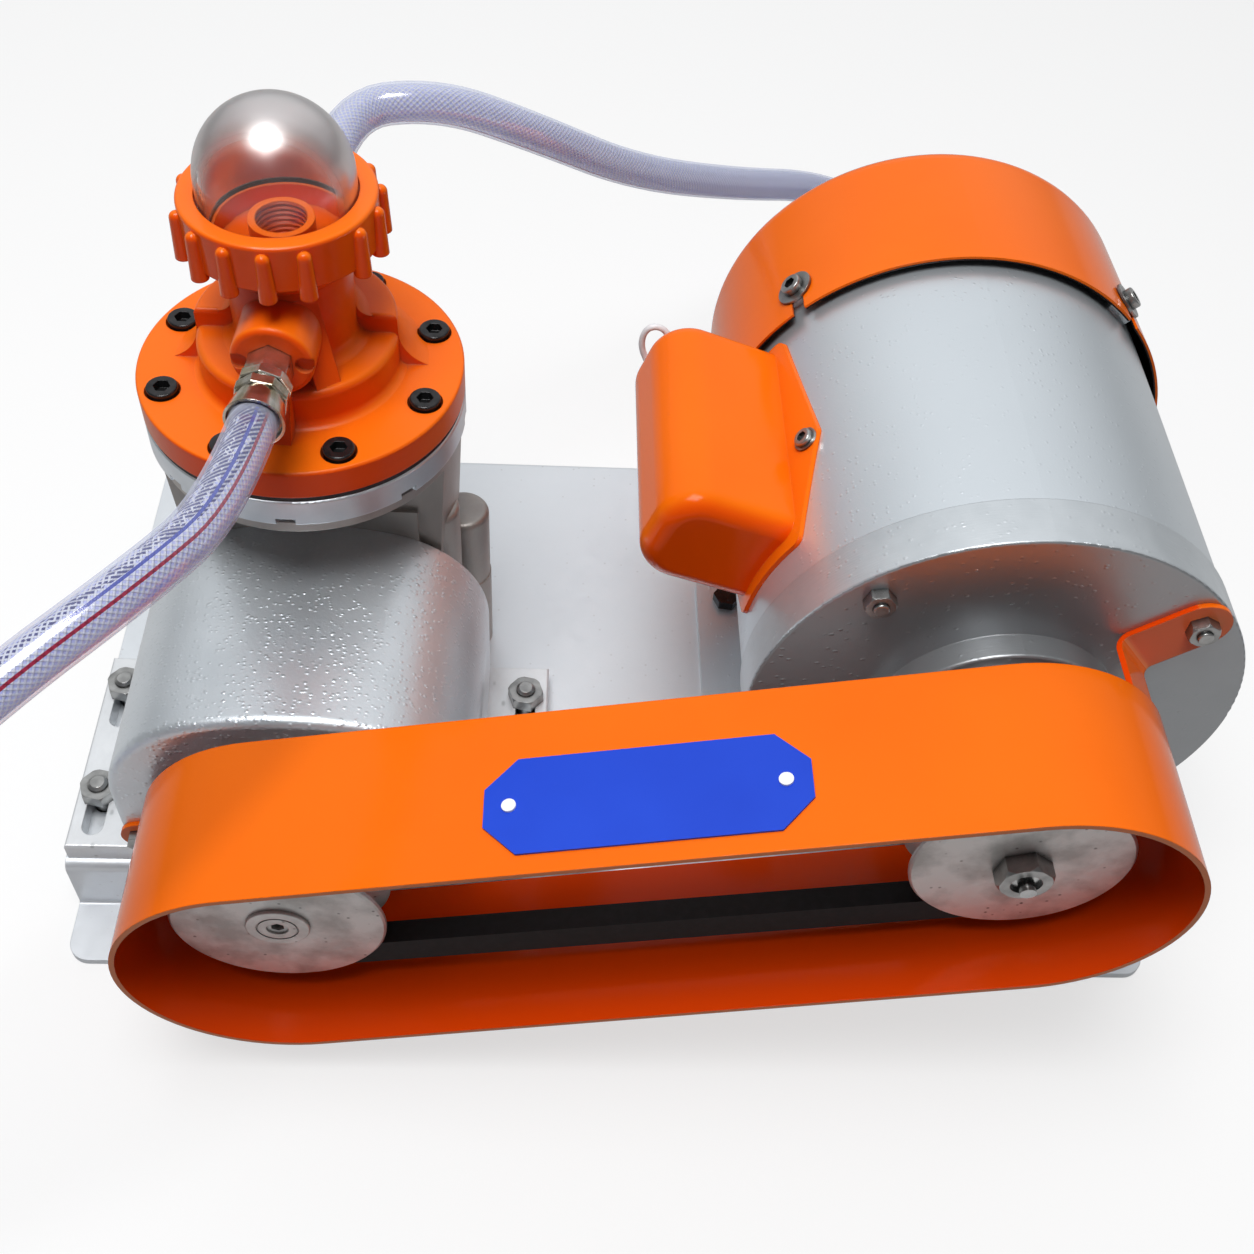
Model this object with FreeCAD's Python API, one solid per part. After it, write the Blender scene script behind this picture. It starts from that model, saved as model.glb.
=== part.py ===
import FreeCAD, Part
import math
import os

V = FreeCAD.Vector

# Belt-driven diaphragm pump set on a folded steel base, with an electric motor, a belt guard, a clear dome
# and two braided hoses. Millimetres, +Z up, the pulleys face -Y, the pump stands at -X and the motor at +X.
# The origin is the centre of the four foot holes, on the floor.

# Base
base_length = 406.0
base_width = 266.6
base_body_width = 218.4
base_shift_y = 1.5
base_top = 29.4
base_sheet = 3.0
foot_hole_spacing_x = 300.0
foot_hole_spacing_y = 239.6
foot_hole_radius = 4.5

# Pump mounting plate and its four bolts
plate_thickness = 8.0
plate_x = (-202.0, -28.0)
plate_y = (-104.3, -17.0)
plate_top = base_top + plate_thickness
plate_bolt_x = (-193.5, -37.0)
plate_bolt_y = (-80.7, -32.3)
slot_length = 25.0
slot_width = 7.8
slot_shift = -6.0
bolt_radius = 3.6
bolt_end = 7.0
nut_flats = 12.5
nut_height = 5.2

# Pump axes
pump_x = -114.0
crank_z = 73.0
head_y = 2.1
crank_throw = 3.5

# Bearing housing, the arched casting
housing_front = -108.8
housing_rear = -21.8
housing_half_width = 62.5
housing_shoulder_radius = 44.5
housing_shoulder_z = 76.5
housing_shoulder_turn = 75.0
bearing_outer_radius = 20.0
bearing_width = 12.0
shaft_radius = 8.5
running_gap = 0.05
front_bearing_y = -106.0
rear_bearing_y = -40.0

# Pump body and diaphragm
neck_radius = 53.0
neck_foot_radius = 50.5
neck_foot = 108.0
neck_top = 155.0
neck_bottom = 131.0
neck_front = -20.0
neck_collar = 4.5
neck_bore = 18.0
block_half_width = 38.0
block_rear = 50.0
crank_chamber_radius = 31.0
inner_column = (43.0, -10.0, 9.0, 123.4)
outer_column = (51.6, 7.0, 10.0, 104.2)
column_round = 2.5
column_step_top = 69.5
flange_radius = 54.5
ring_flange_top = 165.7
diaphragm_top = 167.9
chamber_radius = 36.0
clamp_radius = 22.0

# Head cover
cover_flange_top = 178.5
cover_step_radius = 33.0
cover_step_top = 192.0
cover_web_top = 198.5
cover_skirt_round = 14.5
cover_skirt_sink = 0.9
cover_fillet_round = 3.2
tower_fillet_round = 5.0
fillet_sink = 0.1
head_screw_circle = 93.0
head_screw_seat = 174.3
head_screw_angle = 21.6
head_screw_radius = 3.0
tower_radius = 20.0
port_z = 206.5
port_reach = 34.9
port_radius = 13.0
port_turn = -3.0
bowl_radius = 27.5
bowl_bottom = 229.0
bowl_flare = 8.0
bowl_rim = 233.0
bowl_inner_radius = 21.0
bowl_floor = 226.0

# Dome and its union ring
dome_radius = 24.3
dome_wall = 2.0
dome_centre_z = 250.0
dome_flange_top = 238.0
ring_bottom = 230.3
ring_top = 245.5
ring_radius = 30.4
ring_rib_radius = 2.2
ring_rib_foot_radius = 2.8
ring_rib_circle = 30.8
ring_rib_bottom = 227.7
ring_rib_top = 243.9

# Motor
motor_x = 120.0
motor_z = 118.4
bell_front = -92.8
bell_radius = 82.5
bell_depth = 18.0
shell_radius = 81.5
shell_wall = 2.3
shell_rear = 48.0
tie_radius = 73.0
tie_angles = (41.0, 131.0, 221.0, 311.0)
fan_cover_mouth = 39.2
fan_cover_rear = 113.0
fan_cover_radius = 86.0
fan_cover_rear_radius = 83.4
fan_cover_wall = 1.5
cover_screw_y = 52.0
cover_screw_angles = (44.0, 136.0, 224.0, 316.0)

# Capacitor cover on the motor's side, in its own outward direction
capacitor_turn = 160.0
cap_cover_reach = 124.0
cap_cover_half_height = 20.0
cap_cover_y = (-56.8, 35.2)
cap_flange_thickness = 1.6

# Pulleys and belt
pulley_radius = 35.0
pulley_width = 18.0
belt_y = -144.4
pulley_front = belt_y - pulley_width / 2
pulley_hub_rear = -125.0
belt_inner_radius = 26.5
belt_height = 8.0
belt_inner_half = 4.0
belt_outer_half = 6.5
belt_gap = 0.35
pulley_bore = 7.0

# Belt guard
guard_left = (-113.3, 70.9)
guard_right = (120.1, 120.6)
guard_radius = 50.7
guard_sheet = 1.8
guard_front = -171.2
guard_rear = -114.4

# Hoses
hose_radius = 7.5
ferrule_radius = 7.6
crimp_corner = 8.6
crimp_row = 4.2
ferrule_mouth_radius = 9.2
ferrule_flare = 8.6
ferrule_recess_radius = 8.3
ferrule_recess = 1.8
fitting_flats = 13.0
fitting_length = 8.5
ferrule_length = 18.0
coil_radius = 75.0
coil_pitch = 15.3
coil_turns = 2.33
hose_end_tail = 55.0
front_coil_centre = (-368.0, -212.0)
rear_coil_centre = (178.0, 230.0)
front_route = [
    (-117.14, -58.0, 206.5),
    (-120.5, -98.0, 209.0),
    (-136.0, -129.0, 214.0),
    (-168.0, -165.0, 210.0),
    (-212.0, -203.0, 186.0),
    (-256.0, -240.0, 130.0),
    (-294.0, -266.0, 70.0),
    (-345.0, -283.5, 43.0),
]
rear_route = [
    (-110.86, 62.2, 206.5),
    (-109.5, 100.0, 213.0),
    (-74.0, 107.0, 215.0),
    (-40.0, 122.0, 194.0),
    (2.0, 160.0, 153.0),
    (52.0, 212.0, 115.0),
    (102.0, 264.0, 82.0),
    (144.0, 296.8, 45.0),
]


def box(x0, x1, y0, y1, z0, z1):
    return Part.makeBox(x1 - x0, y1 - y0, z1 - z0, V(x0, y0, z0))


def rod_z(radius, x, y, z0, z1):
    return Part.makeCylinder(radius, z1 - z0, V(x, y, z0), V(0, 0, 1))


def rod_y(radius, x, z, y0, y1):
    return Part.makeCylinder(radius, y1 - y0, V(x, y0, z), V(0, 1, 0))


def ring_z(outer, inner, x, y, z0, z1):
    return rod_z(outer, x, y, z0, z1).cut(rod_z(inner, x, y, z0, z1))


def ring_y(outer, inner, x, z, y0, y1):
    return rod_y(outer, x, z, y0, y1).cut(rod_y(inner, x, z, y0, y1))


def hexagon(flats, centre, direction, height, turn=0.0):
    """Hexagonal prism whose first flat faces turn degrees from the reference direction."""
    d = V(*direction)
    side = V(0, 0, 1) if abs(d.z) < 0.9 else V(1, 0, 0)
    across = d.cross(side).normalize()
    up = across.cross(d).normalize()
    corner = flats / math.sqrt(3)
    points = []
    for i in range(7):
        a = math.radians(60 * i + 30 + turn)
        points.append(V(*centre) + across * (corner * math.cos(a)) + up * (corner * math.sin(a)))
    return Part.Face(Part.makePolygon(points)).extrude(d.normalize() * height)


def prism_y(points, y0, y1):
    """Closed outline of (x, z) points carried from y0 to y1."""
    loop = [V(x, y0, z) for x, z in points]
    return Part.Face(Part.makePolygon(loop + loop[:1])).extrude(V(0, y1 - y0, 0))


def prism_x(points, x0, x1):
    """Closed outline of (y, z) points carried from x0 to x1."""
    loop = [V(x0, y, z) for y, z in points]
    return Part.Face(Part.makePolygon(loop + loop[:1])).extrude(V(x1 - x0, 0, 0))


def spun(points, centre, direction):
    """Outline of (radius, height) points turned about an axis through centre."""
    base = V(*centre)
    axis = V(*direction)
    side = V(1, 0, 0)
    loop = [base + side * r + axis * h for r, h in points]
    return Part.Face(Part.makePolygon(loop + loop[:1])).revolve(base, axis, 360)


def polar(centre_x, centre_z, radius, degrees):
    a = math.radians(degrees)
    return centre_x + radius * math.cos(a), centre_z + radius * math.sin(a)


def union(shapes):
    result = shapes[0].multiFuse(shapes[1:]) if len(shapes) > 1 else shapes[0]
    return result.removeSplitter()


def group(shapes):
    return Part.makeCompound(shapes)


def rounded(shape, radius, chosen):
    """Rounds the edges whose middle point passes the test."""
    edges = []
    for edge in shape.Edges:
        middle = edge.valueAt((edge.FirstParameter + edge.LastParameter) / 2)
        if chosen(edge, middle):
            edges.append(edge)
    return shape.makeFillet(radius, edges)


def along(edge, axis):
    """True for a straight edge along the named axis."""
    if len(edge.Vertexes) != 2:
        return False
    step = edge.Vertexes[1].Point - edge.Vertexes[0].Point
    return abs(abs(getattr(step, axis)) - step.Length) < 1e-6 and step.Length > 1e-6


def near(value, target):
    return abs(value - target) < 0.01


def upright_slot(x, y, z0, z1):
    """Slot cutter that runs along Y through a plate."""
    half = (slot_length - slot_width) / 2
    middle = y + slot_shift
    radius = slot_width / 2
    return union([
        box(x - radius, x + radius, middle - half, middle + half, z0, z1),
        rod_z(radius, x, middle - half, z0, z1),
        rod_z(radius, x, middle + half, z0, z1),
    ])


def plate_bolt_places():
    return [(x, y) for x in plate_bolt_x for y in plate_bolt_y]


foot_bolt_x = (motor_x - 72.7, motor_x + 72.7)
foot_bolt_y = (-67.8, 25.9)
foot_bolt_radius = 3.0
foot_bolt_flats = 10.0
foot_bolt_head = 4.0
foot_nut_height = 5.0
motor_foot_thickness = 3.0


def foot_bolt_places():
    return [(x, y) for x in foot_bolt_x for y in foot_bolt_y]


def base_plate():
    foot = base_width / 2
    wall = base_body_width / 2
    inner = wall - base_sheet
    under = base_top - base_sheet
    outline = [
        (-foot, 0), (-inner, 0), (-inner, under), (inner, under), (inner, 0), (foot, 0),
        (foot, base_sheet), (wall, base_sheet), (wall, base_top), (-wall, base_top),
        (-wall, base_sheet), (-foot, base_sheet),
    ]
    half = base_length / 2
    shape = prism_x(outline, -half, half)
    outer_bend = 4.0
    inner_bend = 1.2
    shape = rounded(shape, outer_bend, lambda e, m: along(e, "x") and (
        (near(abs(m.y), wall) and near(m.z, base_top)) or (near(abs(m.y), inner) and near(m.z, 0))))
    shape = rounded(shape, inner_bend, lambda e, m: along(e, "x") and (
        (near(abs(m.y), inner) and near(m.z, under)) or (near(abs(m.y), wall) and near(m.z, base_sheet))))
    corner = 8.0
    shape = rounded(shape, corner, lambda e, m: along(e, "z") and near(abs(m.y), foot))
    shape.translate(V(0, base_shift_y, 0))
    for x in (-foot_hole_spacing_x / 2, foot_hole_spacing_x / 2):
        for y in (-foot_hole_spacing_y / 2, foot_hole_spacing_y / 2):
            shape = shape.cut(rod_z(foot_hole_radius, x, y, -1, base_sheet + 1))
    for x, y in plate_bolt_places():
        shape = shape.cut(rod_z(bolt_radius + 0.25, x, y, under - 1, base_top + 1))
    for x, y in foot_bolt_places():
        shape = shape.cut(rod_z(foot_bolt_radius + 0.25, x, y, under - 1, base_top + 1))
    return shape


housing_screw_places = [(-44.0, -92.0), (44.0, -92.0), (-44.0, -40.0), (44.0, -40.0)]


def pump_mount_plate():
    plate = box(plate_x[0], plate_x[1], plate_y[0], plate_y[1], base_top, plate_top)
    plate = rounded(plate, 1.0, lambda e, m: near(m.z, plate_top))
    for x, y in plate_bolt_places():
        plate = plate.cut(upright_slot(x, y, base_top - 1, plate_top + 1))
    for x, y in housing_screw_places:
        plate = plate.cut(frame_screw(pump_x + x, y))
    return plate


def frame_screw(x, y):
    """Countersunk screw driven up from under the mounting plate."""
    head = Part.makeCone(5.5, 3.0, 2.5, V(x, y, base_top), V(0, 0, 1))
    shank = rod_z(3.0, x, y, base_top, plate_top + 10)
    return head.fuse(shank).removeSplitter()


def frame_screws():
    return group([frame_screw(pump_x + x, y) for x, y in housing_screw_places])


def mount_bolts():
    head_height = 5.3
    under = base_top - base_sheet
    bolts = []
    for x, y in plate_bolt_places():
        head = hexagon(nut_flats, (x, y, under - head_height), (0, 0, 1), head_height)
        shank = rod_z(bolt_radius, x, y, under, plate_top + bolt_end - 1)
        tip_foot = V(x, y, plate_top + bolt_end - 1)
        tip = Part.makeCone(bolt_radius, bolt_radius - 1.0, 1.0, tip_foot, V(0, 0, 1))
        bolts.append(union([head, shank, tip]))
    return group(bolts)


def hex_nut(x, y, z, flats, height, hole):
    """Nut with its corners turned down on the upper side."""
    body = hexagon(flats, (x, y, z), (0, 0, 1), height, 12.0)
    corner = flats / math.sqrt(3)
    cap = Part.makeCone(corner + 2.2, corner - 0.6, height, V(x, y, z), V(0, 0, 1))
    return body.common(cap).cut(rod_z(hole, x, y, z - 1, z + height + 1))


def mount_nuts():
    nuts = []
    for x, y in plate_bolt_places():
        nuts.append(hex_nut(x, y, plate_top, nut_flats, nut_height, bolt_radius))
    under = base_top - base_sheet
    for x, y in foot_bolt_places():
        body = hexagon(foot_bolt_flats, (x, y, under - foot_nut_height), (0, 0, 1), foot_nut_height)
        nuts.append(body.cut(rod_z(foot_bolt_radius, x, y, under - foot_nut_height - 1, under + 1)))
    return group(nuts)


def arch_outline(half_width, shoulder, shoulder_z, turn, bottom):
    """Edges of an arch seen from the front: upright sides, round shoulders and a shallow crown."""
    a = math.radians(turn)
    centre = half_width - shoulder
    top_x = centre + shoulder * math.cos(a)
    top_z = shoulder_z + shoulder * math.sin(a)
    crown_radius = top_x / math.cos(a)
    crown_z = top_z - crown_radius * math.sin(a) + crown_radius
    mid = a / 2
    mid_x = centre + shoulder * math.cos(mid)
    mid_z = shoulder_z + shoulder * math.sin(mid)
    return [
        ("line", (-half_width, bottom), (half_width, bottom)),
        ("line", (half_width, bottom), (half_width, shoulder_z)),
        ("arc", (half_width, shoulder_z), (mid_x, mid_z), (top_x, top_z)),
        ("arc", (top_x, top_z), (0, crown_z), (-top_x, top_z)),
        ("arc", (-top_x, top_z), (-mid_x, mid_z), (-half_width, shoulder_z)),
        ("line", (-half_width, shoulder_z), (-half_width, bottom)),
    ]


def arch_solid(outline, y0, y1):
    edges = []
    for kind, *points in outline:
        places = [V(pump_x + x, y0, z) for x, z in points]
        if kind == "line":
            edges.append(Part.LineSegment(*places).toShape())
        else:
            edges.append(Part.Arc(*places).toShape())
    return Part.Face(Part.Wire(edges)).extrude(V(0, y1 - y0, 0))


guard_lug_turn = 195.0
guard_lug_reach = 58.0
guard_lug_screw = 2.5


def guard_lug_place():
    return polar(guard_left[0], guard_left[1], guard_lug_reach, guard_lug_turn)


def bearing_housing():
    outline = arch_outline(housing_half_width, housing_shoulder_radius, housing_shoulder_z,
                           housing_shoulder_turn, plate_top)
    shape = arch_solid(outline, housing_front, housing_rear)
    shape = rounded(shape, 6.0, lambda e, m: along(e, "y") and near(m.z, plate_top))
    shape = rounded(shape, 3.5, lambda e, m: near(m.y, housing_front) and m.z > plate_top + 7)
    cavity = rod_y(34.0, pump_x, crank_z, front_bearing_y + bearing_width + 4, rear_bearing_y - 4)
    shape = shape.cut(cavity)
    seat_rear = front_bearing_y + bearing_width
    shape = shape.cut(rod_y(bearing_outer_radius, pump_x, crank_z, housing_front - 1, seat_rear))
    shape = shape.cut(rod_y(bearing_outer_radius, pump_x, crank_z, rear_bearing_y, housing_rear + 1))
    shape = shape.cut(rod_y(shaft_radius + 1.5, pump_x, crank_z, housing_front - 1, housing_rear + 1))
    for x, y in housing_screw_places:
        shape = shape.cut(rod_z(3.0, pump_x + x, y, plate_top - 1, plate_top + 10))
    lug_x, lug_z = guard_lug_place()
    return shape.cut(rod_y(guard_lug_screw, lug_x, lug_z, housing_front - 1, housing_front + 12))


def bearing_cap():
    """Round cap that holds the front bearing in and carries the shaft seal."""
    cap = ring_y(32.0, 13.0, pump_x, crank_z, housing_front - 4, housing_front)
    spigot = ring_y(bearing_outer_radius, 15.0, pump_x, crank_z, housing_front, front_bearing_y)
    return union([cap, spigot])


def shaft_seal():
    return ring_y(13.0, shaft_radius + running_gap, pump_x, crank_z, housing_front - 4, housing_front)


def crank_bearing(y0):
    """Ball bearing as one ring, its two races joined, with the groove between them on both faces."""
    ring = ring_y(bearing_outer_radius, shaft_radius + running_gap, pump_x, crank_z, y0, y0 + bearing_width)
    for y in (y0, y0 + bearing_width - 1):
        ring = ring.cut(ring_y(16.5, 12.0, pump_x, crank_z, y, y + 1))
    return ring


def crank_bearings():
    return group([crank_bearing(front_bearing_y), crank_bearing(rear_bearing_y)])


journal_radius = 10.0
rod_bearing_outer = 21.0
journal_half = 6.5


def crankshaft():
    web_front = head_y - journal_half - 7
    web_rear = head_y - journal_half
    top = crank_z + crank_throw
    shoulder = pulley_hub_rear
    return union([
        rod_y(pulley_bore, pump_x, crank_z, pulley_front + 1.0, shoulder),
        rod_y(shaft_radius, pump_x, crank_z, shoulder, web_front),
        rod_y(16.0, pump_x, crank_z, web_front, web_rear),
        rod_y(journal_radius, pump_x, top, web_rear, head_y + journal_half),
    ]).cut(rod_y(3.0, pump_x, crank_z, pulley_front, pulley_front + 18))


def rod_bearing():
    top = crank_z + crank_throw
    return ring_y(rod_bearing_outer, journal_radius + running_gap, pump_x, top, head_y - 6, head_y + 6)


rod_top = 161.6
rod_eye_radius = 26.0


def connecting_rod():
    eye_z = crank_z + crank_throw
    eye = rod_y(rod_eye_radius, pump_x, eye_z, head_y - 6, head_y + 6)
    shank = box(pump_x - 6, pump_x + 6, head_y - 5, head_y + 5, eye_z + 20, rod_top - 16)
    top = rod_z(8.0, pump_x, head_y, rod_top - 17, rod_top)
    shape = union([eye, shank, top])
    shape = shape.cut(rod_y(rod_bearing_outer, pump_x, eye_z, head_y - 7, head_y + 7))
    return shape.cut(rod_z(3.0, pump_x, head_y, rod_top - 14, rod_top + 1))


clamp_gap = 0.1


def clamp_plates():
    """Two plates that clamp the diaphragm's middle to the rod, one under it and one over it."""
    bottom = diaphragm_top + clamp_gap
    lower = ring_z(clamp_radius, 3.0, pump_x, head_y, rod_top, ring_flange_top - clamp_gap)
    upper = ring_z(clamp_radius, 3.0, pump_x, head_y, bottom, bottom + 3)
    lower = rounded(lower, 1.0, lambda e, m: near(m.z, ring_flange_top - clamp_gap) and e.Length > 100)
    upper = rounded(upper, 1.0, lambda e, m: near(m.z, bottom) and e.Length > 100)
    return group([lower, upper])


def clamp_bolt():
    bottom = diaphragm_top + clamp_gap + 3
    head = hexagon(9.0, (pump_x, head_y, bottom), (0, 0, 1), 3.0)
    shank = rod_z(3.0, pump_x, head_y, rod_top - 13, bottom)
    return union([head, shank])


def head_screw_places():
    radius = head_screw_circle / 2
    places = []
    for i in range(8):
        a = math.radians(head_screw_angle + 45 * i)
        places.append((pump_x + radius * math.cos(a), head_y + radius * math.sin(a)))
    return places


def diaphragm():
    disc = ring_z(flange_radius - 0.6, 3.1, pump_x, head_y, ring_flange_top, diaphragm_top)
    for x, y in head_screw_places():
        disc = disc.cut(rod_z(head_screw_radius + 0.2, x, y, ring_flange_top - 1, diaphragm_top + 1))
    return disc


def diaphragm_flange():
    """Turned ring under the diaphragm, tapped for the cover screws, with small notches in its lower edge."""
    ring = ring_z(flange_radius, chamber_radius, pump_x, head_y, neck_top, ring_flange_top)
    ring = rounded(ring, 0.8, lambda e, m: e.Length > 300)
    for x, y in head_screw_places():
        ring = ring.cut(rod_z(head_screw_radius, x, y, neck_top - 1, ring_flange_top + 1))
    for i in range(8):
        a = math.radians(head_screw_angle + 22.5 + 45 * i)
        x = pump_x + flange_radius * math.cos(a)
        y = head_y + flange_radius * math.sin(a)
        ring = ring.cut(rod_z(3.2, x, y, neck_top - 1, neck_top + 3))
    return ring


def dome_column(x, y, radius, top):
    """Round column with a rounded top and a slightly thicker foot, standing on the base."""
    column = rod_z(radius, pump_x + x, y, base_top, top)
    column = rounded(column, column_round, lambda e, m: near(m.z, top))
    return column.fuse(rod_z(radius + 0.4, pump_x + x, y, base_top, column_step_top))


def pump_body():
    """Crankcase: a block behind the bearing housing, a round neck above it and two columns on its right."""
    half = block_half_width
    block = box(pump_x - half, pump_x + half, housing_rear, block_rear, base_top, neck_bottom)
    block = rounded(block, 8.0, lambda e, m: along(e, "z") and near(m.y, block_rear))
    profile = [(0, neck_foot), (neck_foot_radius, neck_foot), (neck_radius, neck_top), (0, neck_top)]
    neck = spun(profile, (pump_x, head_y, 0), (0, 0, 1))
    front_gap = box(pump_x - 60, pump_x + 60, head_y - 60, neck_front,
                    neck_foot - 1, neck_top - neck_collar)
    wing = box(pump_x + half - 2, pump_x + outer_column[0], 3.0, 11.0, base_top, 98.0)
    shape = union([block, neck.cut(front_gap), wing, dome_column(*inner_column), dome_column(*outer_column)])
    shape = shape.cut(box(pump_x - 80, pump_x + 80, -60, plate_y[1] + 0.2, base_top - 1, plate_top))
    shape = shape.cut(rod_y(crank_chamber_radius, pump_x, crank_z, housing_rear - 1, head_y + 26))
    shape = shape.cut(rod_z(neck_bore, pump_x, head_y, crank_z, neck_top + 1))
    return shape.cut(rod_z(29.0, pump_x, head_y, neck_top - 1.2, neck_top + 1))


def port_cutters(sign):
    """Threaded port and the passage behind it, along -Y for sign -1 and along +Y for sign 1."""
    near_y = head_y + sign * 8
    far_y = head_y + sign * (port_reach + 1)
    thread_y = head_y + sign * (port_reach - 12)
    passage = rod_y(4.0, pump_x, port_z, min(near_y, far_y), max(near_y, far_y))
    thread = rod_y(6.5, pump_x, port_z, min(thread_y, far_y), max(thread_y, far_y))
    return turned(passage.fuse(thread))


def turned(shape):
    """The two ports stand a few degrees off the pump's own axis."""
    copy = shape.copy()
    copy.rotate(V(pump_x, head_y, 0), V(0, 0, 1), port_turn)
    return copy


def port_boss(sign):
    y0 = head_y if sign > 0 else head_y - port_reach
    boss = rod_y(port_radius, pump_x, port_z, y0, y0 + port_reach)
    face = head_y + sign * port_reach
    boss = rounded(boss, 2.0, lambda e, m: near(m.y, face))
    for side in (-1, 1):
        start = face - 2.0 if sign > 0 else face
        boss = boss.cut(rod_y(3.0, pump_x + side * 10.2, port_z, start, start + 2.0))
    return turned(boss)


def port_rib(sign):
    """Upright rib that carries a port boss on the flange."""
    reach = port_reach - 2
    rib = prism_x([
        (head_y, cover_flange_top - 1), (head_y + sign * 41.3, cover_flange_top - 1),
        (head_y + sign * 41.3, cover_flange_top), (head_y + sign * reach, port_z - 8), (head_y, port_z - 8),
    ], pump_x - 4, pump_x + 4)
    return turned(rib)


def hollow_skirt(inner, radius, floor, sink):
    """Disc on a flat floor whose outer side is hollowed by a round groove, as a wide fillet round a post."""
    circle = inner + radius
    middle = floor + radius - sink
    disc = rod_z(circle, pump_x, head_y, floor - 1, middle)
    return disc.cut(Part.makeTorus(circle, radius, V(pump_x, head_y, middle), V(0, 0, 1)))


def cover_hump():
    """Raised middle of the cover: a low front half and a higher rear half with a wide hollow skirt."""
    low = rod_z(cover_step_radius, pump_x, head_y, cover_flange_top - 1, cover_step_top)
    low = rounded(low, 2.5, lambda e, m: near(m.z, cover_step_top) and e.Length > 100)
    low = union([low, hollow_skirt(cover_step_radius, cover_fillet_round, cover_flange_top, fillet_sink),
                 hollow_skirt(tower_radius, tower_fillet_round, cover_step_top, fillet_sink)])
    behind = box(pump_x - 60, pump_x + 60, head_y, head_y + 60, cover_flange_top - 1, cover_web_top + 10)
    high = rod_z(cover_step_radius, pump_x, head_y, cover_flange_top - 1, cover_web_top).common(behind)
    high = rounded(high, 1.6, lambda e, m: near(m.z, cover_web_top))
    skirt = hollow_skirt(cover_step_radius, cover_skirt_round, cover_flange_top, cover_skirt_sink)
    foot = hollow_skirt(tower_radius, tower_fillet_round, cover_web_top, fillet_sink)
    return union([low, high, skirt.common(behind), foot.common(behind)])


def cover_web(degrees, thickness, reach, low_z):
    """Upright web that runs out from the tower and slopes down to the cover, clockwise of its angle."""
    outline = [(0, cover_flange_top - 1), (reach, cover_flange_top - 1), (reach, low_z),
               (tower_radius - 1, port_z + 12), (0, port_z + 12)]
    outline = [(pump_x + r, z) for r, z in outline]
    web = prism_y(outline, head_y - thickness, head_y)
    web.rotate(V(pump_x, head_y, 0), V(0, 0, 1), degrees)
    return web


valve_offset = 13.0
valve_bore = 8.0
valve_roof = 176.0
valve_top = 189.0


def head_cover():
    flange = rod_z(flange_radius, pump_x, head_y, diaphragm_top, cover_flange_top)
    flange = rounded(flange, 1.0, lambda e, m: near(m.z, cover_flange_top) and e.Length > 300)
    tower = rod_z(tower_radius, pump_x, head_y, cover_flange_top, bowl_bottom)
    flare_foot = V(pump_x, head_y, bowl_bottom - bowl_flare)
    flare = Part.makeCone(tower_radius, bowl_radius, bowl_flare, flare_foot, V(0, 0, 1))
    bowl = rod_z(bowl_radius, pump_x, head_y, bowl_bottom, bowl_rim)
    shape = union([flange, cover_hump(), tower, flare, bowl,
                   port_boss(-1), port_boss(1), port_rib(-1), port_rib(1),
                   cover_web(-56.0, 8.5, 30.5, cover_step_top), cover_web(124.0, 8.5, 30.5, cover_step_top)])
    shape = shape.cut(rod_z(bowl_inner_radius, pump_x, head_y, bowl_floor, bowl_rim + 1))
    boss = ring_z(10.3, 8.0, pump_x, head_y, bowl_floor, bowl_rim + 2.5)
    shape = shape.fuse(boss)
    shape = shape.cut(rod_z(8.0, pump_x, head_y, bowl_floor - 10, bowl_rim + 3))
    shape = shape.cut(rod_z(4.0, pump_x, head_y - 11, port_z, bowl_floor - 9))
    shape = shape.cut(rod_z(chamber_radius - 4, pump_x, head_y, diaphragm_top - 1, valve_roof))
    for sign in (-1, 1):
        shape = shape.cut(port_cutters(sign))
        y = head_y + sign * valve_offset
        shape = shape.cut(rod_z(valve_bore, pump_x, y, valve_roof - 1, valve_top))
        shape = shape.cut(rod_z(3.5, pump_x, y, valve_top - 1, port_z))
    for x, y in head_screw_places():
        shape = shape.cut(rod_z(head_screw_radius + 0.3, x, y, diaphragm_top - 1, cover_flange_top + 1))
        shape = shape.cut(rod_z(5.9, x, y, head_screw_seat, cover_flange_top + 20))
    return shape.removeSplitter()


def head_screws():
    seat = head_screw_seat
    screws = []
    for x, y in head_screw_places():
        head = rod_z(5.2, x, y, seat, seat + 6.0)
        head = rounded(head, 0.6, lambda e, m: near(m.z, seat + 6.0) and e.Length > 5)
        shank = rod_z(head_screw_radius, x, y, neck_top + 1, seat)
        socket = hexagon(5.0, (x, y, seat + 3.0), (0, 0, 1), 4.0)
        screws.append(union([head, shank]).cut(socket))
    return group(screws)


seat_height = 3.0
disc_height = 1.5
valve_lift = 2.0
suction_y = head_y + valve_offset
discharge_y = head_y - valve_offset


def valve_seats():
    """Seat rings pressed into the valve bores: under the discharge disc and over the suction disc."""
    low = ring_z(valve_bore, 4.5, pump_x, discharge_y, valve_roof, valve_roof + seat_height)
    high = ring_z(valve_bore, 4.5, pump_x, suction_y, valve_top - seat_height, valve_top)
    return group([low, high])


def cage(y, z):
    """Ring with a cross bar that stops the disc and lets the liquid past."""
    ring = ring_z(valve_bore, 6.0, pump_x, y, z, z + seat_height)
    bar = box(pump_x - 6.5, pump_x + 6.5, y - 1, y + 1, z, z + seat_height)
    cross = box(pump_x - 1, pump_x + 1, y - 6.5, y + 6.5, z, z + seat_height)
    return union([ring, bar, cross]).common(rod_z(valve_bore, pump_x, y, z, z + seat_height))


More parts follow.
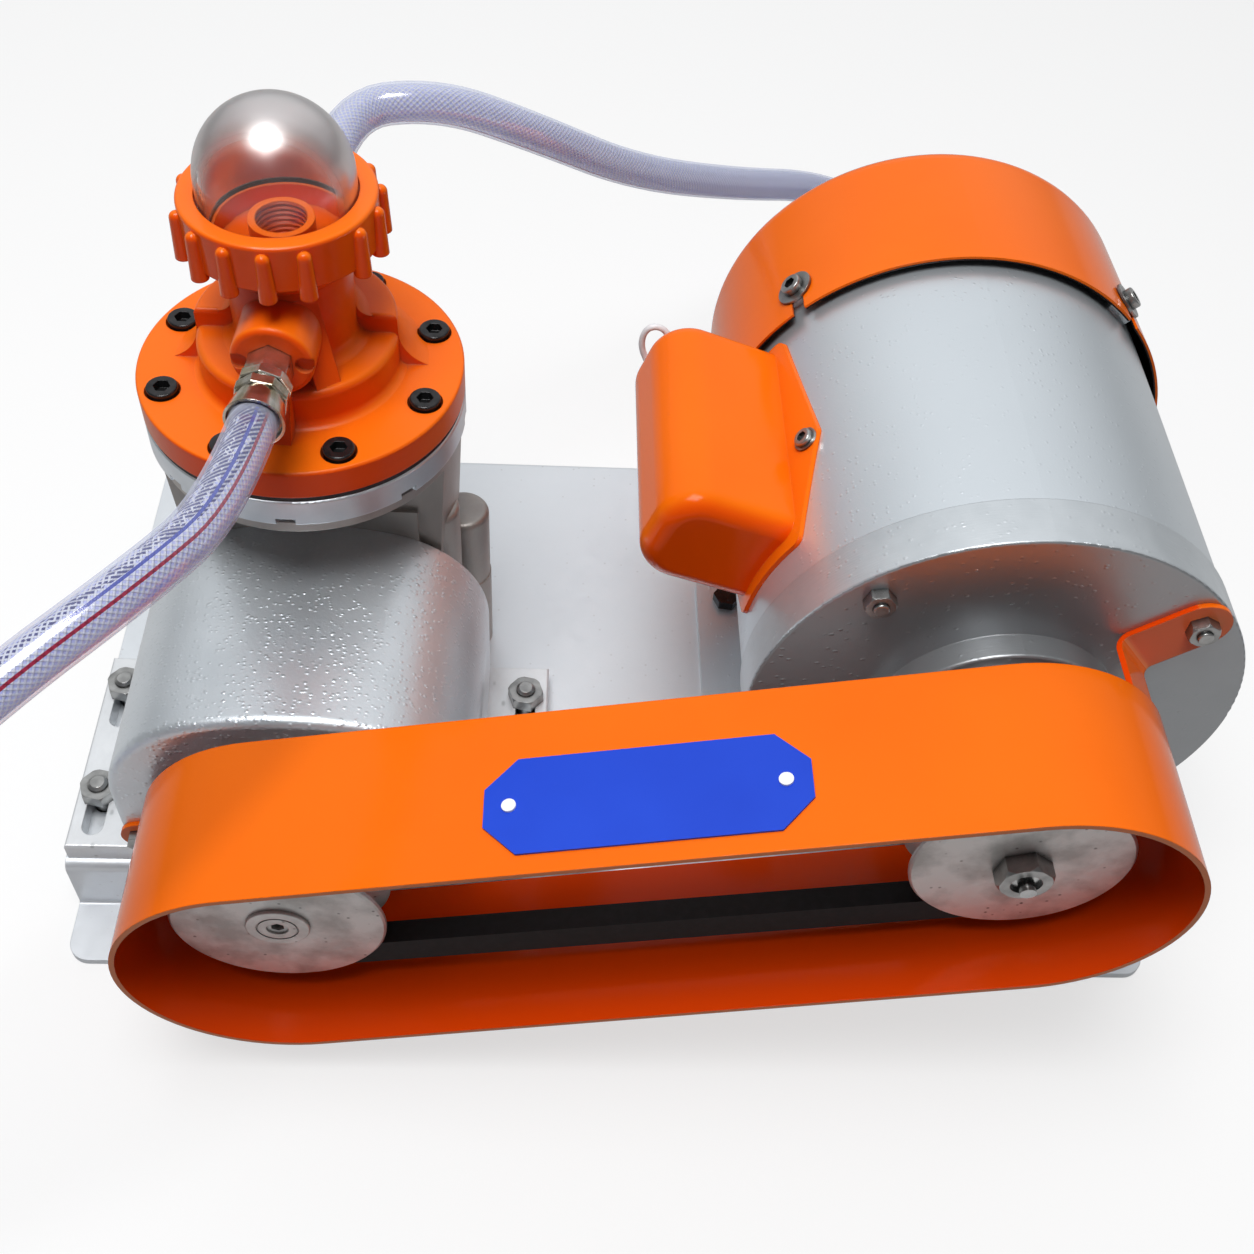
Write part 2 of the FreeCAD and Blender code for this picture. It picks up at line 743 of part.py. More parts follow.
def valve_cages():
    over = valve_roof + seat_height + disc_height + valve_lift
    under = valve_top - seat_height - disc_height - valve_lift - seat_height
    return group([cage(discharge_y, over), cage(suction_y, under)])


def discharge_valve_disc():
    return rod_z(7.0, pump_x, discharge_y, valve_roof + seat_height, valve_roof + seat_height + disc_height)


def suction_valve_disc():
    bottom = valve_top - seat_height - disc_height - valve_lift
    return rod_z(7.0, pump_x, suction_y, bottom, bottom + disc_height)


def dome_seal():
    """Flat seal ring on the bowl's rim, under the dome's foot."""
    return ring_z(26.8, 22.0, pump_x, head_y, bowl_rim, bowl_rim + 1.5)


def dome():
    foot_bottom = bowl_rim + 1.6
    outer = union([
        Part.makeSphere(dome_radius, V(pump_x, head_y, dome_centre_z)).common(
            box(pump_x - 30, pump_x + 30, head_y - 30, head_y + 30, dome_centre_z, dome_centre_z + 30)),
        rod_z(dome_radius, pump_x, head_y, foot_bottom, dome_centre_z),
        rod_z(26.8, pump_x, head_y, foot_bottom, dome_flange_top - 0.2),
    ])
    inner_radius = dome_radius - dome_wall
    inner = union([
        Part.makeSphere(inner_radius, V(pump_x, head_y, dome_centre_z)).common(
            box(pump_x - 30, pump_x + 30, head_y - 30, head_y + 30, dome_centre_z, dome_centre_z + 30)),
        rod_z(inner_radius, pump_x, head_y, foot_bottom - 1, dome_centre_z),
    ])
    return outer.cut(inner)


def ring_rib_angles():
    """Finger ribs in two evenly spaced groups, with a wider gap on each side between them."""
    first = [-158.5 + 22.5 * i for i in range(5)]
    second = [-32.0 + 22.0 * i for i in range(10)]
    return first + second


def union_ring():
    shape = rod_z(ring_radius, pump_x, head_y, ring_bottom, ring_top)
    shape = rounded(shape, 1.2, lambda e, m: near(m.z, ring_top) and e.Length > 50)
    ribs = []
    for degrees in ring_rib_angles():
        x, y = polar(pump_x, head_y, ring_rib_circle, degrees)
        height = ring_rib_top - ring_rib_radius - ring_rib_bottom
        foot = V(x, y, ring_rib_bottom)
        ribs.append(Part.makeCone(ring_rib_foot_radius, ring_rib_radius, height, foot, V(0, 0, 1)))
        ribs.append(Part.makeSphere(ring_rib_radius, V(x, y, ring_rib_top - ring_rib_radius)))
    shape = union([shape] + ribs)
    shape = shape.cut(rod_z(bowl_radius + 0.1, pump_x, head_y, ring_rib_bottom - 1, dome_flange_top))
    return shape.cut(rod_z(dome_radius + 0.5, pump_x, head_y, ring_rib_bottom - 1, ring_top + 1))


def port_fitting(sign):
    """Hexagon screwed into the port, with a stub inside the hose's ferrule."""
    face = head_y + sign * port_reach
    out = face + sign * fitting_length
    body = hexagon(fitting_flats, (pump_x, face, port_z), (0, sign, 0), fitting_length)
    inward = face - sign * 11
    thread = rod_y(6.5, pump_x, port_z, min(face, inward), max(face, inward))
    stub_end = out + sign * (ferrule_length - ferrule_recess)
    stub = rod_y(5.0, pump_x, port_z, min(out, stub_end), max(out, stub_end))
    bore_end = stub_end + sign
    bore = rod_y(3.5, pump_x, port_z, min(inward, bore_end) - 1, max(inward, bore_end) + 1)
    return turned(union([body, thread, stub]).cut(bore))


def port_fittings():
    return group([port_fitting(-1), port_fitting(1)])


def crimp_band(start, sign, first, turn):
    """Eight flats pressed round the ferrule, over one row of the crimp."""
    outline = [polar(pump_x, port_z, crimp_corner, turn + 45.0 * i) for i in range(8)]
    ends = (start + sign * first, start + sign * (first + crimp_row))
    return rounded(prism_y(outline, min(ends), max(ends)), 0.7, lambda e, m: True)


def ferrule(sign):
    """Sleeve over the hose's end, with two rows of crimped flats and a flared mouth round the hose."""
    start = head_y + sign * (port_reach + fitting_length)
    end = start + sign * ferrule_length
    sleeve = rod_y(ferrule_radius, pump_x, port_z, min(start, end), max(start, end))
    way = V(0, sign, 0)
    flare_foot = V(pump_x, end - sign * ferrule_flare, port_z)
    flare = Part.makeCone(ferrule_radius, ferrule_mouth_radius, ferrule_flare, flare_foot, way)
    shape = union([sleeve, flare, crimp_band(start, sign, 0.6, 0.0), crimp_band(start, sign, 5.0, 12.0)])
    shape = shape.cut(rod_y(5.0, pump_x, port_z, min(start, end) - 1, max(start, end) + 1))
    recess_foot = V(pump_x, end - sign * ferrule_recess, port_z)
    shape = shape.cut(Part.makeCylinder(ferrule_recess_radius, ferrule_recess + 1, recess_foot, way))
    return turned(shape)


def hose_ferrules():
    return group([ferrule(-1), ferrule(1)])


def route_tube(name, route, radius):
    """Round tube along straight runs joined by tangent arcs, as large as the runs allow."""
    points = [V(*p) for p in route]
    share = 0.45
    edges = []
    start = points[0]
    length = 0.0
    for i in range(1, len(points) - 1):
        back = points[i - 1] - points[i]
        ahead = points[i + 1] - points[i]
        reach = share * min(back.Length, ahead.Length)
        turn = math.pi - back.getAngle(ahead)
        bend = reach / math.tan(turn / 2)
        print("%s point %d turns %.0f degrees, radius %.1f" % (name, i, math.degrees(turn), bend))
        first = points[i] + back.normalize() * reach
        last = points[i] + ahead.normalize() * reach
        centre_way = (back + ahead).normalize()
        middle = points[i] + centre_way * (bend / math.cos(turn / 2) - bend)
        edges.append(Part.LineSegment(start, first).toShape())
        edges.append(Part.Arc(first, middle, last).toShape())
        length += (first - start).Length + bend * turn
        start = last
    edges.append(Part.LineSegment(start, points[-1]).toShape())
    length += (points[-1] - start).Length
    path = Part.Wire(edges)
    heading = points[1] - points[0]
    circle = Part.Wire(Part.makeCircle(radius, points[0], heading))
    tube = path.makePipeShell([circle], True, False)
    share_of_ideal = tube.Volume / (math.pi * radius ** 2 * length)
    print("%s tube length %.0f, volume over section times length %.4f" % (name, length, share_of_ideal))
    return tube


def front_hose():
    return route_tube("front_hose", front_route, hose_radius)


def rear_hose():
    return route_tube("rear_hose", rear_route, hose_radius)


def coil_height():
    return coil_pitch * coil_turns + 2 * hose_radius


def coil_end(centre, start_degrees):
    """Point and heading where the coil's lowest turn leaves it, the coil being wound clockwise."""
    degrees = start_degrees - 360 * coil_turns
    a = math.radians(degrees)
    point = V(centre[0] + coil_radius * math.cos(a), centre[1] + coil_radius * math.sin(a), hose_radius)
    return point, V(math.sin(a), -math.cos(a), 0)


def coil(centre, start_degrees):
    """Outer shape of the coiled length on the floor, with the straight stretch that leads to its fitting."""
    outer = coil_radius + hose_radius
    inner = coil_radius - hose_radius
    ring = ring_z(outer, inner, centre[0], centre[1], 0, coil_height())
    point, heading = coil_end(centre, start_degrees)
    tail_end = point + heading * hose_end_tail + V(0, 0, end_rise)
    tail = Part.makeCylinder(hose_radius, (tail_end - point).Length, point, tail_end - point)
    return union([ring, tail])


def start_angle(route, centre):
    x, y, z = route[-1]
    return math.degrees(math.atan2(y - centre[1], x - centre[0]))


end_rise = 2.5
end_nut_flats = 17.0
end_ferrule_length = 20.0
end_nut_length = 14.0
end_bore = 6.6


def front_hose_coil():
    return coil(front_coil_centre, start_angle(front_route, front_coil_centre))


def rear_hose_coil():
    return coil(rear_coil_centre, start_angle(rear_route, rear_coil_centre))


def hose_end(route, centre):
    """Ferrule and hexagon coupling on the far end of a hose, open at its mouth."""
    point, heading = coil_end(centre, start_angle(route, centre))
    start = point + heading * hose_end_tail + V(0, 0, end_rise)
    sleeve = Part.makeCylinder(ferrule_radius, end_ferrule_length, start, heading)
    nut_start = start + heading * end_ferrule_length
    nut = hexagon(end_nut_flats, tuple(nut_start), tuple(heading), end_nut_length)
    mouth = Part.makeCylinder(end_bore, end_nut_length - 2, nut_start + heading * 2, heading)
    return union([sleeve, nut]).cut(mouth)


def front_hose_end():
    return hose_end(front_route, front_coil_centre)


def rear_hose_end():
    return hose_end(rear_route, rear_coil_centre)


def motor_shell():
    front = bell_front + bell_depth
    shell = ring_y(shell_radius, shell_radius - shell_wall, motor_x, motor_z, front, shell_rear)
    for degrees in (cap_screw_turn, 2 * capacitor_turn - cap_screw_turn):
        shell = shell.cut(radial_rod(2.0, degrees, cap_screw_y, shell_radius - 10, shell_radius + 5))
    return shell.cut(radial_rod(5.0, capacitor_turn, cap_screw_y, shell_radius - 10, shell_radius + 5))


def radial_rod(radius, degrees, y, r0, r1):
    """Cylinder that stands out of the motor's axis at an angle, between two radii."""
    a = math.radians(degrees)
    way = V(math.cos(a), 0, math.sin(a))
    return Part.makeCylinder(radius, r1 - r0, V(motor_x, y, motor_z) + way * r0, way)


motor_shaft_gap = 0.05
motor_bearing_front = bell_front - 2.0
motor_bearing_rear = shell_rear + 1.0


bell_step = 9.0
bell_nose = 13.0


def front_end_bell():
    rear = bell_front + bell_depth
    shape = rod_y(bell_radius, motor_x, motor_z, bell_front, rear)
    shape = rounded(shape, 0.8, lambda e, m: near(m.y, bell_front))
    step_front = bell_front - bell_step
    step = rod_y(40.0, motor_x, motor_z, step_front, bell_front + 1)
    step = rounded(step, 1.0, lambda e, m: near(m.y, step_front))
    nose_front = bell_front - bell_nose
    nose = rod_y(33.0, motor_x, motor_z, nose_front, bell_front)
    nose = rounded(nose, 1.5, lambda e, m: near(m.y, nose_front))
    shape = union([shape, step, nose])
    shape = shape.cut(rod_y(shell_radius - shell_wall, motor_x, motor_z, bell_front + 6, rear + 1).cut(
        rod_y(28.0, motor_x, motor_z, bell_front + 5, rear + 1)))
    shape = shape.cut(rod_y(20.0, motor_x, motor_z, motor_bearing_front, rear + 1))
    shape = shape.cut(rod_y(shaft_radius + 1.0, motor_x, motor_z, nose_front - 1, rear))
    for x, z in tie_places():
        shape = shape.cut(rod_y(tie_rod_radius, x, z, bell_front - 1, rear + 1))
    return shape


def tie_places():
    return [polar(motor_x, motor_z, tie_radius, degrees) for degrees in tie_angles]


def rear_end_bell():
    front = shell_rear
    rear = shell_rear + 14
    lug_top = cover_radius_at(cover_screw_y) - fan_cover_wall - 0.4
    shape = union([
        rod_y(shell_radius, motor_x, motor_z, front, front + 8),
        rod_y(28.0, motor_x, motor_z, front, rear),
    ])
    for degrees in cover_screw_angles:
        lug = radial_rod(7.0, degrees, cover_screw_y, 70.0, lug_top)
        shape = shape.fuse(lug.common(rod_y(90.0, motor_x, motor_z, front, front + 8)))
    seat_rear = motor_bearing_rear + bearing_width
    shape = shape.cut(rod_y(20.0, motor_x, motor_z, motor_bearing_rear - 1, seat_rear))
    shape = shape.cut(rod_y(shaft_radius + 1.0, motor_x, motor_z, front - 1, rear + 1))
    for x, z in tie_places():
        shape = shape.cut(rod_y(tie_rod_radius, x, z, front - 1, front + 9))
    for degrees in cover_screw_angles:
        shape = shape.cut(radial_rod(2.5, degrees, cover_screw_y, 72.0, 90.0))
    return shape.removeSplitter()


def motor_bearings():
    rings = []
    for y in (motor_bearing_front, motor_bearing_rear):
        ring = ring_y(20.0, shaft_radius + motor_shaft_gap, motor_x, motor_z, y, y + bearing_width)
        for groove in (y, y + bearing_width - 1):
            ring = ring.cut(ring_y(16.5, 12.0, motor_x, motor_z, groove, groove + 1))
        rings.append(ring)
    return group(rings)


stack_front = -52.0
stack_rear = 22.0
rotor_radius = 45.5


def stator():
    """Wound core: the laminated ring and the round ends of its windings."""
    core = ring_y(shell_radius - shell_wall, rotor_radius + 0.5, motor_x, motor_z, stack_front, stack_rear)
    windings = []
    for y0, y1 in ((stack_front - 14, stack_front), (stack_rear, stack_rear + 14)):
        windings.append(ring_y(66.0, 49.0, motor_x, motor_z, y0, y1))
    shape = union([core] + windings)
    for x, z in tie_places():
        shape = shape.cut(rod_y(tie_rod_radius + 0.2, x, z, stack_front - 1, stack_rear + 1))
    return shape


def rotor():
    return ring_y(rotor_radius, 9.5, motor_x, motor_z, stack_front, stack_rear)


shaft_thread_radius = 5.0
shaft_pin_radius = 2.6
pulley_nut_flats = 16.0
pulley_nut_height = 6.4
fan_front = 66.0
fan_rear = 92.0


def motor_shaft():
    return union([
        rod_y(shaft_pin_radius, motor_x, motor_z, pulley_front - 9.5, pulley_front - 5.0),
        rod_y(shaft_thread_radius, motor_x, motor_z, pulley_front - 5.0, pulley_front + 1),
        rod_y(pulley_bore, motor_x, motor_z, pulley_front + 1, pulley_hub_rear),
        rod_y(shaft_radius, motor_x, motor_z, pulley_hub_rear, fan_rear),
        rod_y(9.5, motor_x, motor_z, stack_front, stack_rear),
    ])


def fan():
    hub = ring_y(14.0, shaft_radius, motor_x, motor_z, fan_front, fan_rear)
    disc = ring_y(60.0, shaft_radius, motor_x, motor_z, fan_front, fan_front + 2.5)
    pieces = [hub, disc]
    for i in range(8):
        blade = box(motor_x + 12, motor_x + 74, fan_front, fan_rear, motor_z - 1.2, motor_z + 1.2)
        blade.rotate(V(motor_x, 0, motor_z), V(0, 1, 0), 45 * i)
        pieces.append(blade)
    return union(pieces).cut(rod_y(shaft_radius, motor_x, motor_z, fan_front - 1, fan_rear + 1))


def cover_radius_at(y):
    share = (y - fan_cover_mouth) / (fan_cover_rear - fan_cover_mouth)
    return fan_cover_radius + (fan_cover_rear_radius - fan_cover_radius) * share


def cover_cup(inset):
    """Solid cup of the fan cover's outer shape, smaller by the inset and open past the mouth when inset."""
    y0 = fan_cover_mouth - (1.0 if inset else 0.0)
    y1 = fan_cover_rear - inset
    cup = Part.makeCone(cover_radius_at(y0) - inset, cover_radius_at(y1) - inset, y1 - y0,
                        V(motor_x, y0, motor_z), V(0, 1, 0))
    return rounded(cup, 10.0 - inset, lambda e, m: near(m.y, y1))


def fan_cover():
    outer = cover_cup(0.0)
    inner = cover_cup(fan_cover_wall)
    shape = outer.cut(inner)
    for degrees in cover_screw_angles:
        shape = shape.cut(cover_slot(degrees))
    for count, circle in ((6, 18.0), (12, 34.0), (18, 50.0), (24, 66.0)):
        for i in range(count):
            x, z = polar(motor_x, motor_z, circle, 360 / count * i)
            shape = shape.cut(rod_y(4.5, x, z, fan_cover_rear - 5, fan_cover_rear + 1))
    return shape


def cover_slot(degrees):
    """Slot open at the cover's mouth, which lets it be pulled off with its screws only loosened."""
    width = 5.2
    mouth = fan_cover_mouth - 1
    slot = box(motor_x + 78, motor_x + 92, mouth, cover_screw_y, motor_z - width / 2, motor_z + width / 2)
    slot.rotate(V(motor_x, 0, motor_z), V(0, 1, 0), -degrees)
    return slot.fuse(radial_rod(width / 2, degrees, cover_screw_y, 78, 92))


cap_screw_turn = 140.0
cap_screw_y = -21.5


def cover_screw(degrees, y, seat, washer_size, head_size, shank_size):
    """Socket-head screw with its washer as one piece; each size is a radius and a length along the screw."""
    a = math.radians(degrees)
    way = V(math.cos(a), 0, math.sin(a))
    head_start = seat + washer_size[1]
    head_end = head_start + head_size[1]
    washer = radial_rod(washer_size[0], degrees, y, seat, head_start)
    head = radial_rod(head_size[0], degrees, y, head_start, head_end)
    top = V(motor_x, y, motor_z) + way * head_end
    head = rounded(head, 0.6, lambda e, m: near((m - top).Length, head_size[0]))
    shank = radial_rod(shank_size[0], degrees, y, seat - shank_size[1], seat)
    socket = hexagon(head_size[0], tuple(top), tuple(way * -1), head_size[1] * 0.6)
    return union([washer, head, shank]).cut(socket)


def cover_screws():
    washer = 7.0
    seat = cover_radius_at(cover_screw_y - washer)
    screws = []
    for degrees in cover_screw_angles:
        screws.append(cover_screw(degrees, cover_screw_y, seat, (washer, 1.0), (4.0, 2.8), (2.5, 9.6)))
    seat = shell_radius + cap_flange_thickness
    for degrees in (cap_screw_turn, 2 * capacitor_turn - cap_screw_turn):
        screws.append(cover_screw(degrees, cap_screw_y, seat, (4.4, 0.8), (3.4, 1.8), (2.0, 3.6)))
    return group(screws)


def outward(shape):
    """Turns a shape built towards +X so that it points out of the motor at the capacitor's angle."""
    shape.rotate(V(motor_x, 0, motor_z), V(0, 1, 0), -capacitor_turn)
    return shape


def cap_box(inset):
    """Rounded box that stands out of the motor's side, smaller on every side by the inset."""
    half = cap_cover_half_height - inset
    y0 = cap_cover_y[0] + inset
    y1 = cap_cover_y[1] - inset
    reach = motor_x + cap_cover_reach - inset
    shape = box(motor_x + 40, reach, y0, y1, motor_z - half, motor_z + half)
    side_round = 15.0 - inset
    shape = rounded(shape, side_round, lambda e, m: along(e, "y") and near(m.x, reach))
    end_round = 7.0 - inset
    return rounded(shape, end_round, lambda e, m: (near(m.y, y0) or near(m.y, y1)) and m.x > motor_x + 45)


def capacitor_cover():
    """Pressed cover over the capacitor, with a flange that follows the motor's shell."""
    hollow = cap_box(0.0).cut(cap_box(1.5))
    flange_ring = ring_y(shell_radius + cap_flange_thickness, shell_radius, motor_x, motor_z, -70, 45)
    edge = [(-61.8, 20), (-19.8, 33.1), (35.2, 23.6), (35.2, -23.6), (-19.8, -33.1), (-61.8, -20)]
    patch = prism_x([(y, motor_z + v) for y, v in edge], motor_x + 40, motor_x + 95)
    patch = rounded(patch, 4.0, lambda e, m: along(e, "x"))
    flange = flange_ring.common(patch)
    inside = cap_box(1.5)
    shape = hollow.fuse(flange).cut(rod_y(shell_radius, motor_x, motor_z, -80, 60))
    shape = outward(shape.cut(inside).removeSplitter())
    for degrees in (cap_screw_turn, 2 * capacitor_turn - cap_screw_turn):
        shape = shape.cut(radial_rod(2.2, degrees, cap_screw_y, shell_radius - 5, shell_radius + 10))
    return shape


def capacitor():
    can = rod_y(16.0, motor_x + 105, motor_z, -46.0, 24.0)
    can = rounded(can, 1.5, lambda e, m: near(m.y, -46.0) or near(m.y, 24.0))
    tabs = box(motor_x + 100, motor_x + 101, 24.0, 31.0, motor_z - 3, motor_z + 3)
    tabs = tabs.fuse(box(motor_x + 109, motor_x + 110, 24.0, 31.0, motor_z - 3, motor_z + 3))
    return outward(can.fuse(tabs))


tie_rod_radius = 2.5
tie_nut_flats = 9.0
tie_nut_height = 4.0
tie_rod_end = 1.2


def tie_nut_seat(index):
    """The first rod also holds the guard's right strap, so its nut sits on the strap."""
    return bell_front - guard_sheet if index == 0 else bell_front


def tie_rods():
    """Long rods that clamp the two end bells on the shell."""
    rods = []
    for i, (x, z) in enumerate(tie_places()):
        end = tie_nut_seat(i) - tie_nut_height - tie_rod_end
        rod = rod_y(tie_rod_radius, x, z, end, shell_rear + 8)
        rods.append(rounded(rod, 0.5, lambda e, m: near(m.y, end)))
    return group(rods)


def tie_rod_nuts():
    nuts = []
    for i, (x, z) in enumerate(tie_places()):
        seat = tie_nut_seat(i)
        corner = tie_nut_flats / math.sqrt(3)
        nut = hexagon(tie_nut_flats, (x, seat, z), (0, -1, 0), tie_nut_height, 20.0 * i)
        cone = Part.makeCone(corner + 1.6, corner - 0.5, tie_nut_height, V(x, seat, z), V(0, -1, 0))
        nuts.append(nut.common(cone).cut(rod_y(tie_rod_radius, x, z, seat - 10, seat + 1)))
    return group(nuts)


foot_half_width = 85.4
foot_y = (-82.0, 40.0)
saddle_half_width = 52.0


def motor_foot():
    """Bent foot: a flat sheet with two side walls and two end walls that cradle the shell."""
    bottom = base_top
    top = base_top + motor_foot_thickness
    sheet = box(motor_x - foot_half_width, motor_x + foot_half_width, foot_y[0], foot_y[1], bottom, top)
    sheet = rounded(sheet, 6.0, lambda e, m: along(e, "z"))
    saddle = box(motor_x - saddle_half_width, motor_x + saddle_half_width, -70.0, 32.0, top, 66.0)
    hollow = box(motor_x - saddle_half_width + 3, motor_x + saddle_half_width - 3, -67.0, 29.0, top, 70.0)
    saddle = saddle.cut(hollow).cut(rod_y(shell_radius, motor_x, motor_z, -100, 60))
    shape = sheet.fuse(saddle).removeSplitter()
    for x, y in foot_bolt_places():
        shape = shape.cut(rod_z(foot_bolt_radius + 0.25, x, y, bottom - 1, top + 1))
    return shape


def foot_bolts():
    top = base_top + motor_foot_thickness
    bolts = []
    for x, y in foot_bolt_places():
        head = hexagon(foot_bolt_flats, (x, y, top), (0, 0, 1), foot_bolt_head, 8.0)
        shank = rod_z(foot_bolt_radius, x, y, base_top - base_sheet - 8, top)
        bolts.append(union([head, shank]))
    return group(bolts)


def pulley(x, z):
    """Cast pulley with one V groove, a flat face and a hub behind."""
    slope = (belt_outer_half - belt_inner_half) / belt_height
    low_radius = belt_inner_radius - 1.2
    low_half = belt_inner_half + belt_gap - 1.2 * slope
    rim_half = belt_inner_half + belt_gap + (pulley_radius - belt_inner_radius) * slope
    middle = pulley_width / 2
    hub = pulley_hub_rear - pulley_front
    profile = [
        (pulley_bore, 0), (pulley_radius - 0.8, 0), (pulley_radius, 0.8), (pulley_radius, middle - rim_half),
        (low_radius, middle - low_half), (low_radius, middle + low_half), (pulley_radius, middle + rim_half),
        (pulley_radius, pulley_width), (15.0, pulley_width), (15.0, hub), (pulley_bore, hub),
    ]
    return spun(profile, (x, pulley_front, z), (0, 1, 0))


def motor_pulley():
    return pulley(motor_x, motor_z)


def pump_pulley():
    return pulley(pump_x, crank_z)


def pulley_nut():
    corner = pulley_nut_flats / math.sqrt(3)
    centre = V(motor_x, pulley_front, motor_z)
    nut = hexagon(pulley_nut_flats, tuple(centre), (0, -1, 0), pulley_nut_height, 10.0)
    cone = Part.makeCone(corner + 3.0, corner - 1.0, pulley_nut_height, centre, V(0, -1, 0))
    nut = nut.common(cone)
    return nut.cut(rod_y(shaft_thread_radius, motor_x, motor_z, pulley_front - 9, pulley_front + 1))


def pulley_bolt():
    """Screw with a thin wide head and a hexagon socket that holds the pump's pulley on its shaft."""
    face = pulley_front - 1.4
    head = rod_y(10.4, pump_x, crank_z, face, pulley_front)
    head = rounded(head, 0.5, lambda e, m: near(m.y, face))
    head = head.cut(ring_y(6.9, 6.3, pump_x, crank_z, face, face + 0.4))
    neck = rod_y(3.0, pump_x, crank_z, pulley_front, pulley_front + 17)
    recess = rod_y(3.6, pump_x, crank_z, face, face + 0.7)
    socket = hexagon(4.0, (pump_x, face, crank_z), (0, 1, 0), 5.0)
    return union([head, neck]).cut(recess).cut(socket)


def belt():
    """V belt round both pulleys: two half turns and two straight runs of one wedge-shaped section."""
    run = V(motor_x - pump_x, 0, motor_z - crank_z)
    normal = V(-run.z, 0, run.x).normalize()
    outer = belt_inner_radius + belt_height
    pieces = []
    for centre, side in ((V(pump_x, belt_y, crank_z), 1), (V(motor_x, belt_y, motor_z), -1)):
        corners = belt_corners(centre, normal, outer)
        face = Part.Face(Part.makePolygon(corners))
        pieces.append(face.revolve(centre, V(0, -1, 0), 180 * side))
    start = V(pump_x, belt_y, crank_z)
    for way in (normal, normal * -1):
        face = Part.Face(Part.makePolygon(belt_corners(start, way, outer)))
        pieces.append(face.extrude(run))
    return union(pieces)


def belt_corners(centre, way, outer):
    low = centre + way * belt_inner_radius
    high = centre + way * outer
    return [
        low + V(0, -belt_inner_half, 0), high + V(0, -belt_outer_half, 0),
        high + V(0, belt_outer_half, 0), low + V(0, belt_inner_half, 0), low + V(0, -belt_inner_half, 0),
    ]


def stadium(radius, y0, y1):
    """Solid with two round ends about the guard's two centres."""
    run = V(guard_right[0] - guard_left[0], 0, guard_right[1] - guard_left[1])
    normal = V(-run.z, 0, run.x).normalize() * radius
    way = V(run.x, 0, run.z).normalize() * radius
    left = V(guard_left[0], y0, guard_left[1])
    right = V(guard_right[0], y0, guard_right[1])
    edges = [
        Part.LineSegment(left + normal, right + normal).toShape(),
        Part.Arc(right + normal, right + way, right - normal).toShape(),
        Part.LineSegment(right - normal, left - normal).toShape(),
        Part.Arc(left - normal, left - way, left + normal).toShape(),
    ]
    return Part.Face(Part.Wire(edges)).extrude(V(0, y1 - y0, 0))


strap_bend = 5.0


def guard_tab(centre, degrees, foot_y, reach, hole, width):
    """Bent strap welded inside the guard's rim: a leg along +Y and a foot that points outwards."""
    inner = guard_radius - guard_sheet
    x, z = centre
    outer_x = x + inner - guard_sheet - 0.4
    leg = box(outer_x, outer_x + guard_sheet, guard_rear - 10, foot_y, z - width / 2, z + width / 2)
    foot = box(outer_x, x + reach, foot_y - guard_sheet, foot_y, z - width / 2, z + width / 2)
    end = rod_y(width / 2, x + reach, z, foot_y - guard_sheet, foot_y)
    tab = union([leg, foot, end])
    tab = rounded(tab, strap_bend, lambda e, m: along(e, "z") and near(m.x, outer_x) and near(m.y, foot_y))
    tab = rounded(tab, strap_bend - guard_sheet, lambda e, m: along(e, "z") and (
        near(m.x, outer_x + guard_sheet) and near(m.y, foot_y - guard_sheet)))
    tab = tab.cut(rod_y(hole, x + reach, z, foot_y - guard_sheet - 1, foot_y + 1))
    tab.rotate(V(x, 0, z), V(0, 1, 0), -degrees)
    return tab


def belt_guard():
    """Sheet ring round both pulleys, open at the front and back, held by a strap at each end."""
    ring = stadium(guard_radius, guard_front, guard_rear).cut(
        stadium(guard_radius - guard_sheet, guard_front - 1, guard_rear + 1))
    tie_x, tie_z = tie_places()[0]
    dx = tie_x - guard_right[0]
    dz = tie_z - guard_right[1]
    turn = math.degrees(math.atan2(dz, dx))
    right = guard_tab(guard_right, turn, bell_front, math.hypot(dx, dz), tie_rod_radius, 19.0)
    left = guard_tab(guard_left, guard_lug_turn, housing_front, guard_lug_reach, guard_lug_screw, 14.0)
    shape = union([ring, right, left])
    for place in plate_rivet_places():
        shape = shape.cut(rivet_shank(place))
    return shape


def guard_bolt():
    """Hexagon screw that holds the guard's left strap on the housing."""
    x, z = guard_lug_place()
    seat = housing_front - guard_sheet
    head = hexagon(8.0, (x, seat, z), (0, -1, 0), 3.6, 15.0)
    shank = rod_y(guard_lug_screw, x, z, seat, housing_front + 10)
    return union([head, shank])


name_plate_length = 97.4
name_plate_width = 33.0
name_plate_cut = 10.0
name_plate_thickness = 0.8
name_plate_along = 128.0
name_plate_y = -148.3
rivet_reach = 41.0


def guard_top_frame():
    """Point on the guard's upper flat above its left centre, the way along it and the way out of it."""
    run = V(guard_right[0] - guard_left[0], 0, guard_right[1] - guard_left[1]).normalize()
    out = V(-run.z, 0, run.x)
    return V(guard_left[0], name_plate_y, guard_left[1]) + out * guard_radius, run, out


def name_plate():
    """Blank plate with cut corners on the guard's upper flat."""
    origin, run, out = guard_top_frame()
    half = name_plate_length / 2
    wide = name_plate_width / 2
    cut = name_plate_cut
    outline = [(-half, -wide + cut), (-half + cut, -wide), (half - cut, -wide), (half, -wide + cut),
               (half, wide - cut), (half - cut, wide), (-half + cut, wide), (-half, wide - cut)]
    centre = origin + run * name_plate_along
    loop = [centre + run * a + V(0, b, 0) for a, b in outline]
    plate = Part.Face(Part.makePolygon(loop + loop[:1])).extrude(out * name_plate_thickness)
    for place in plate_rivet_places():
        plate = plate.cut(rivet_shank(place))
    return plate


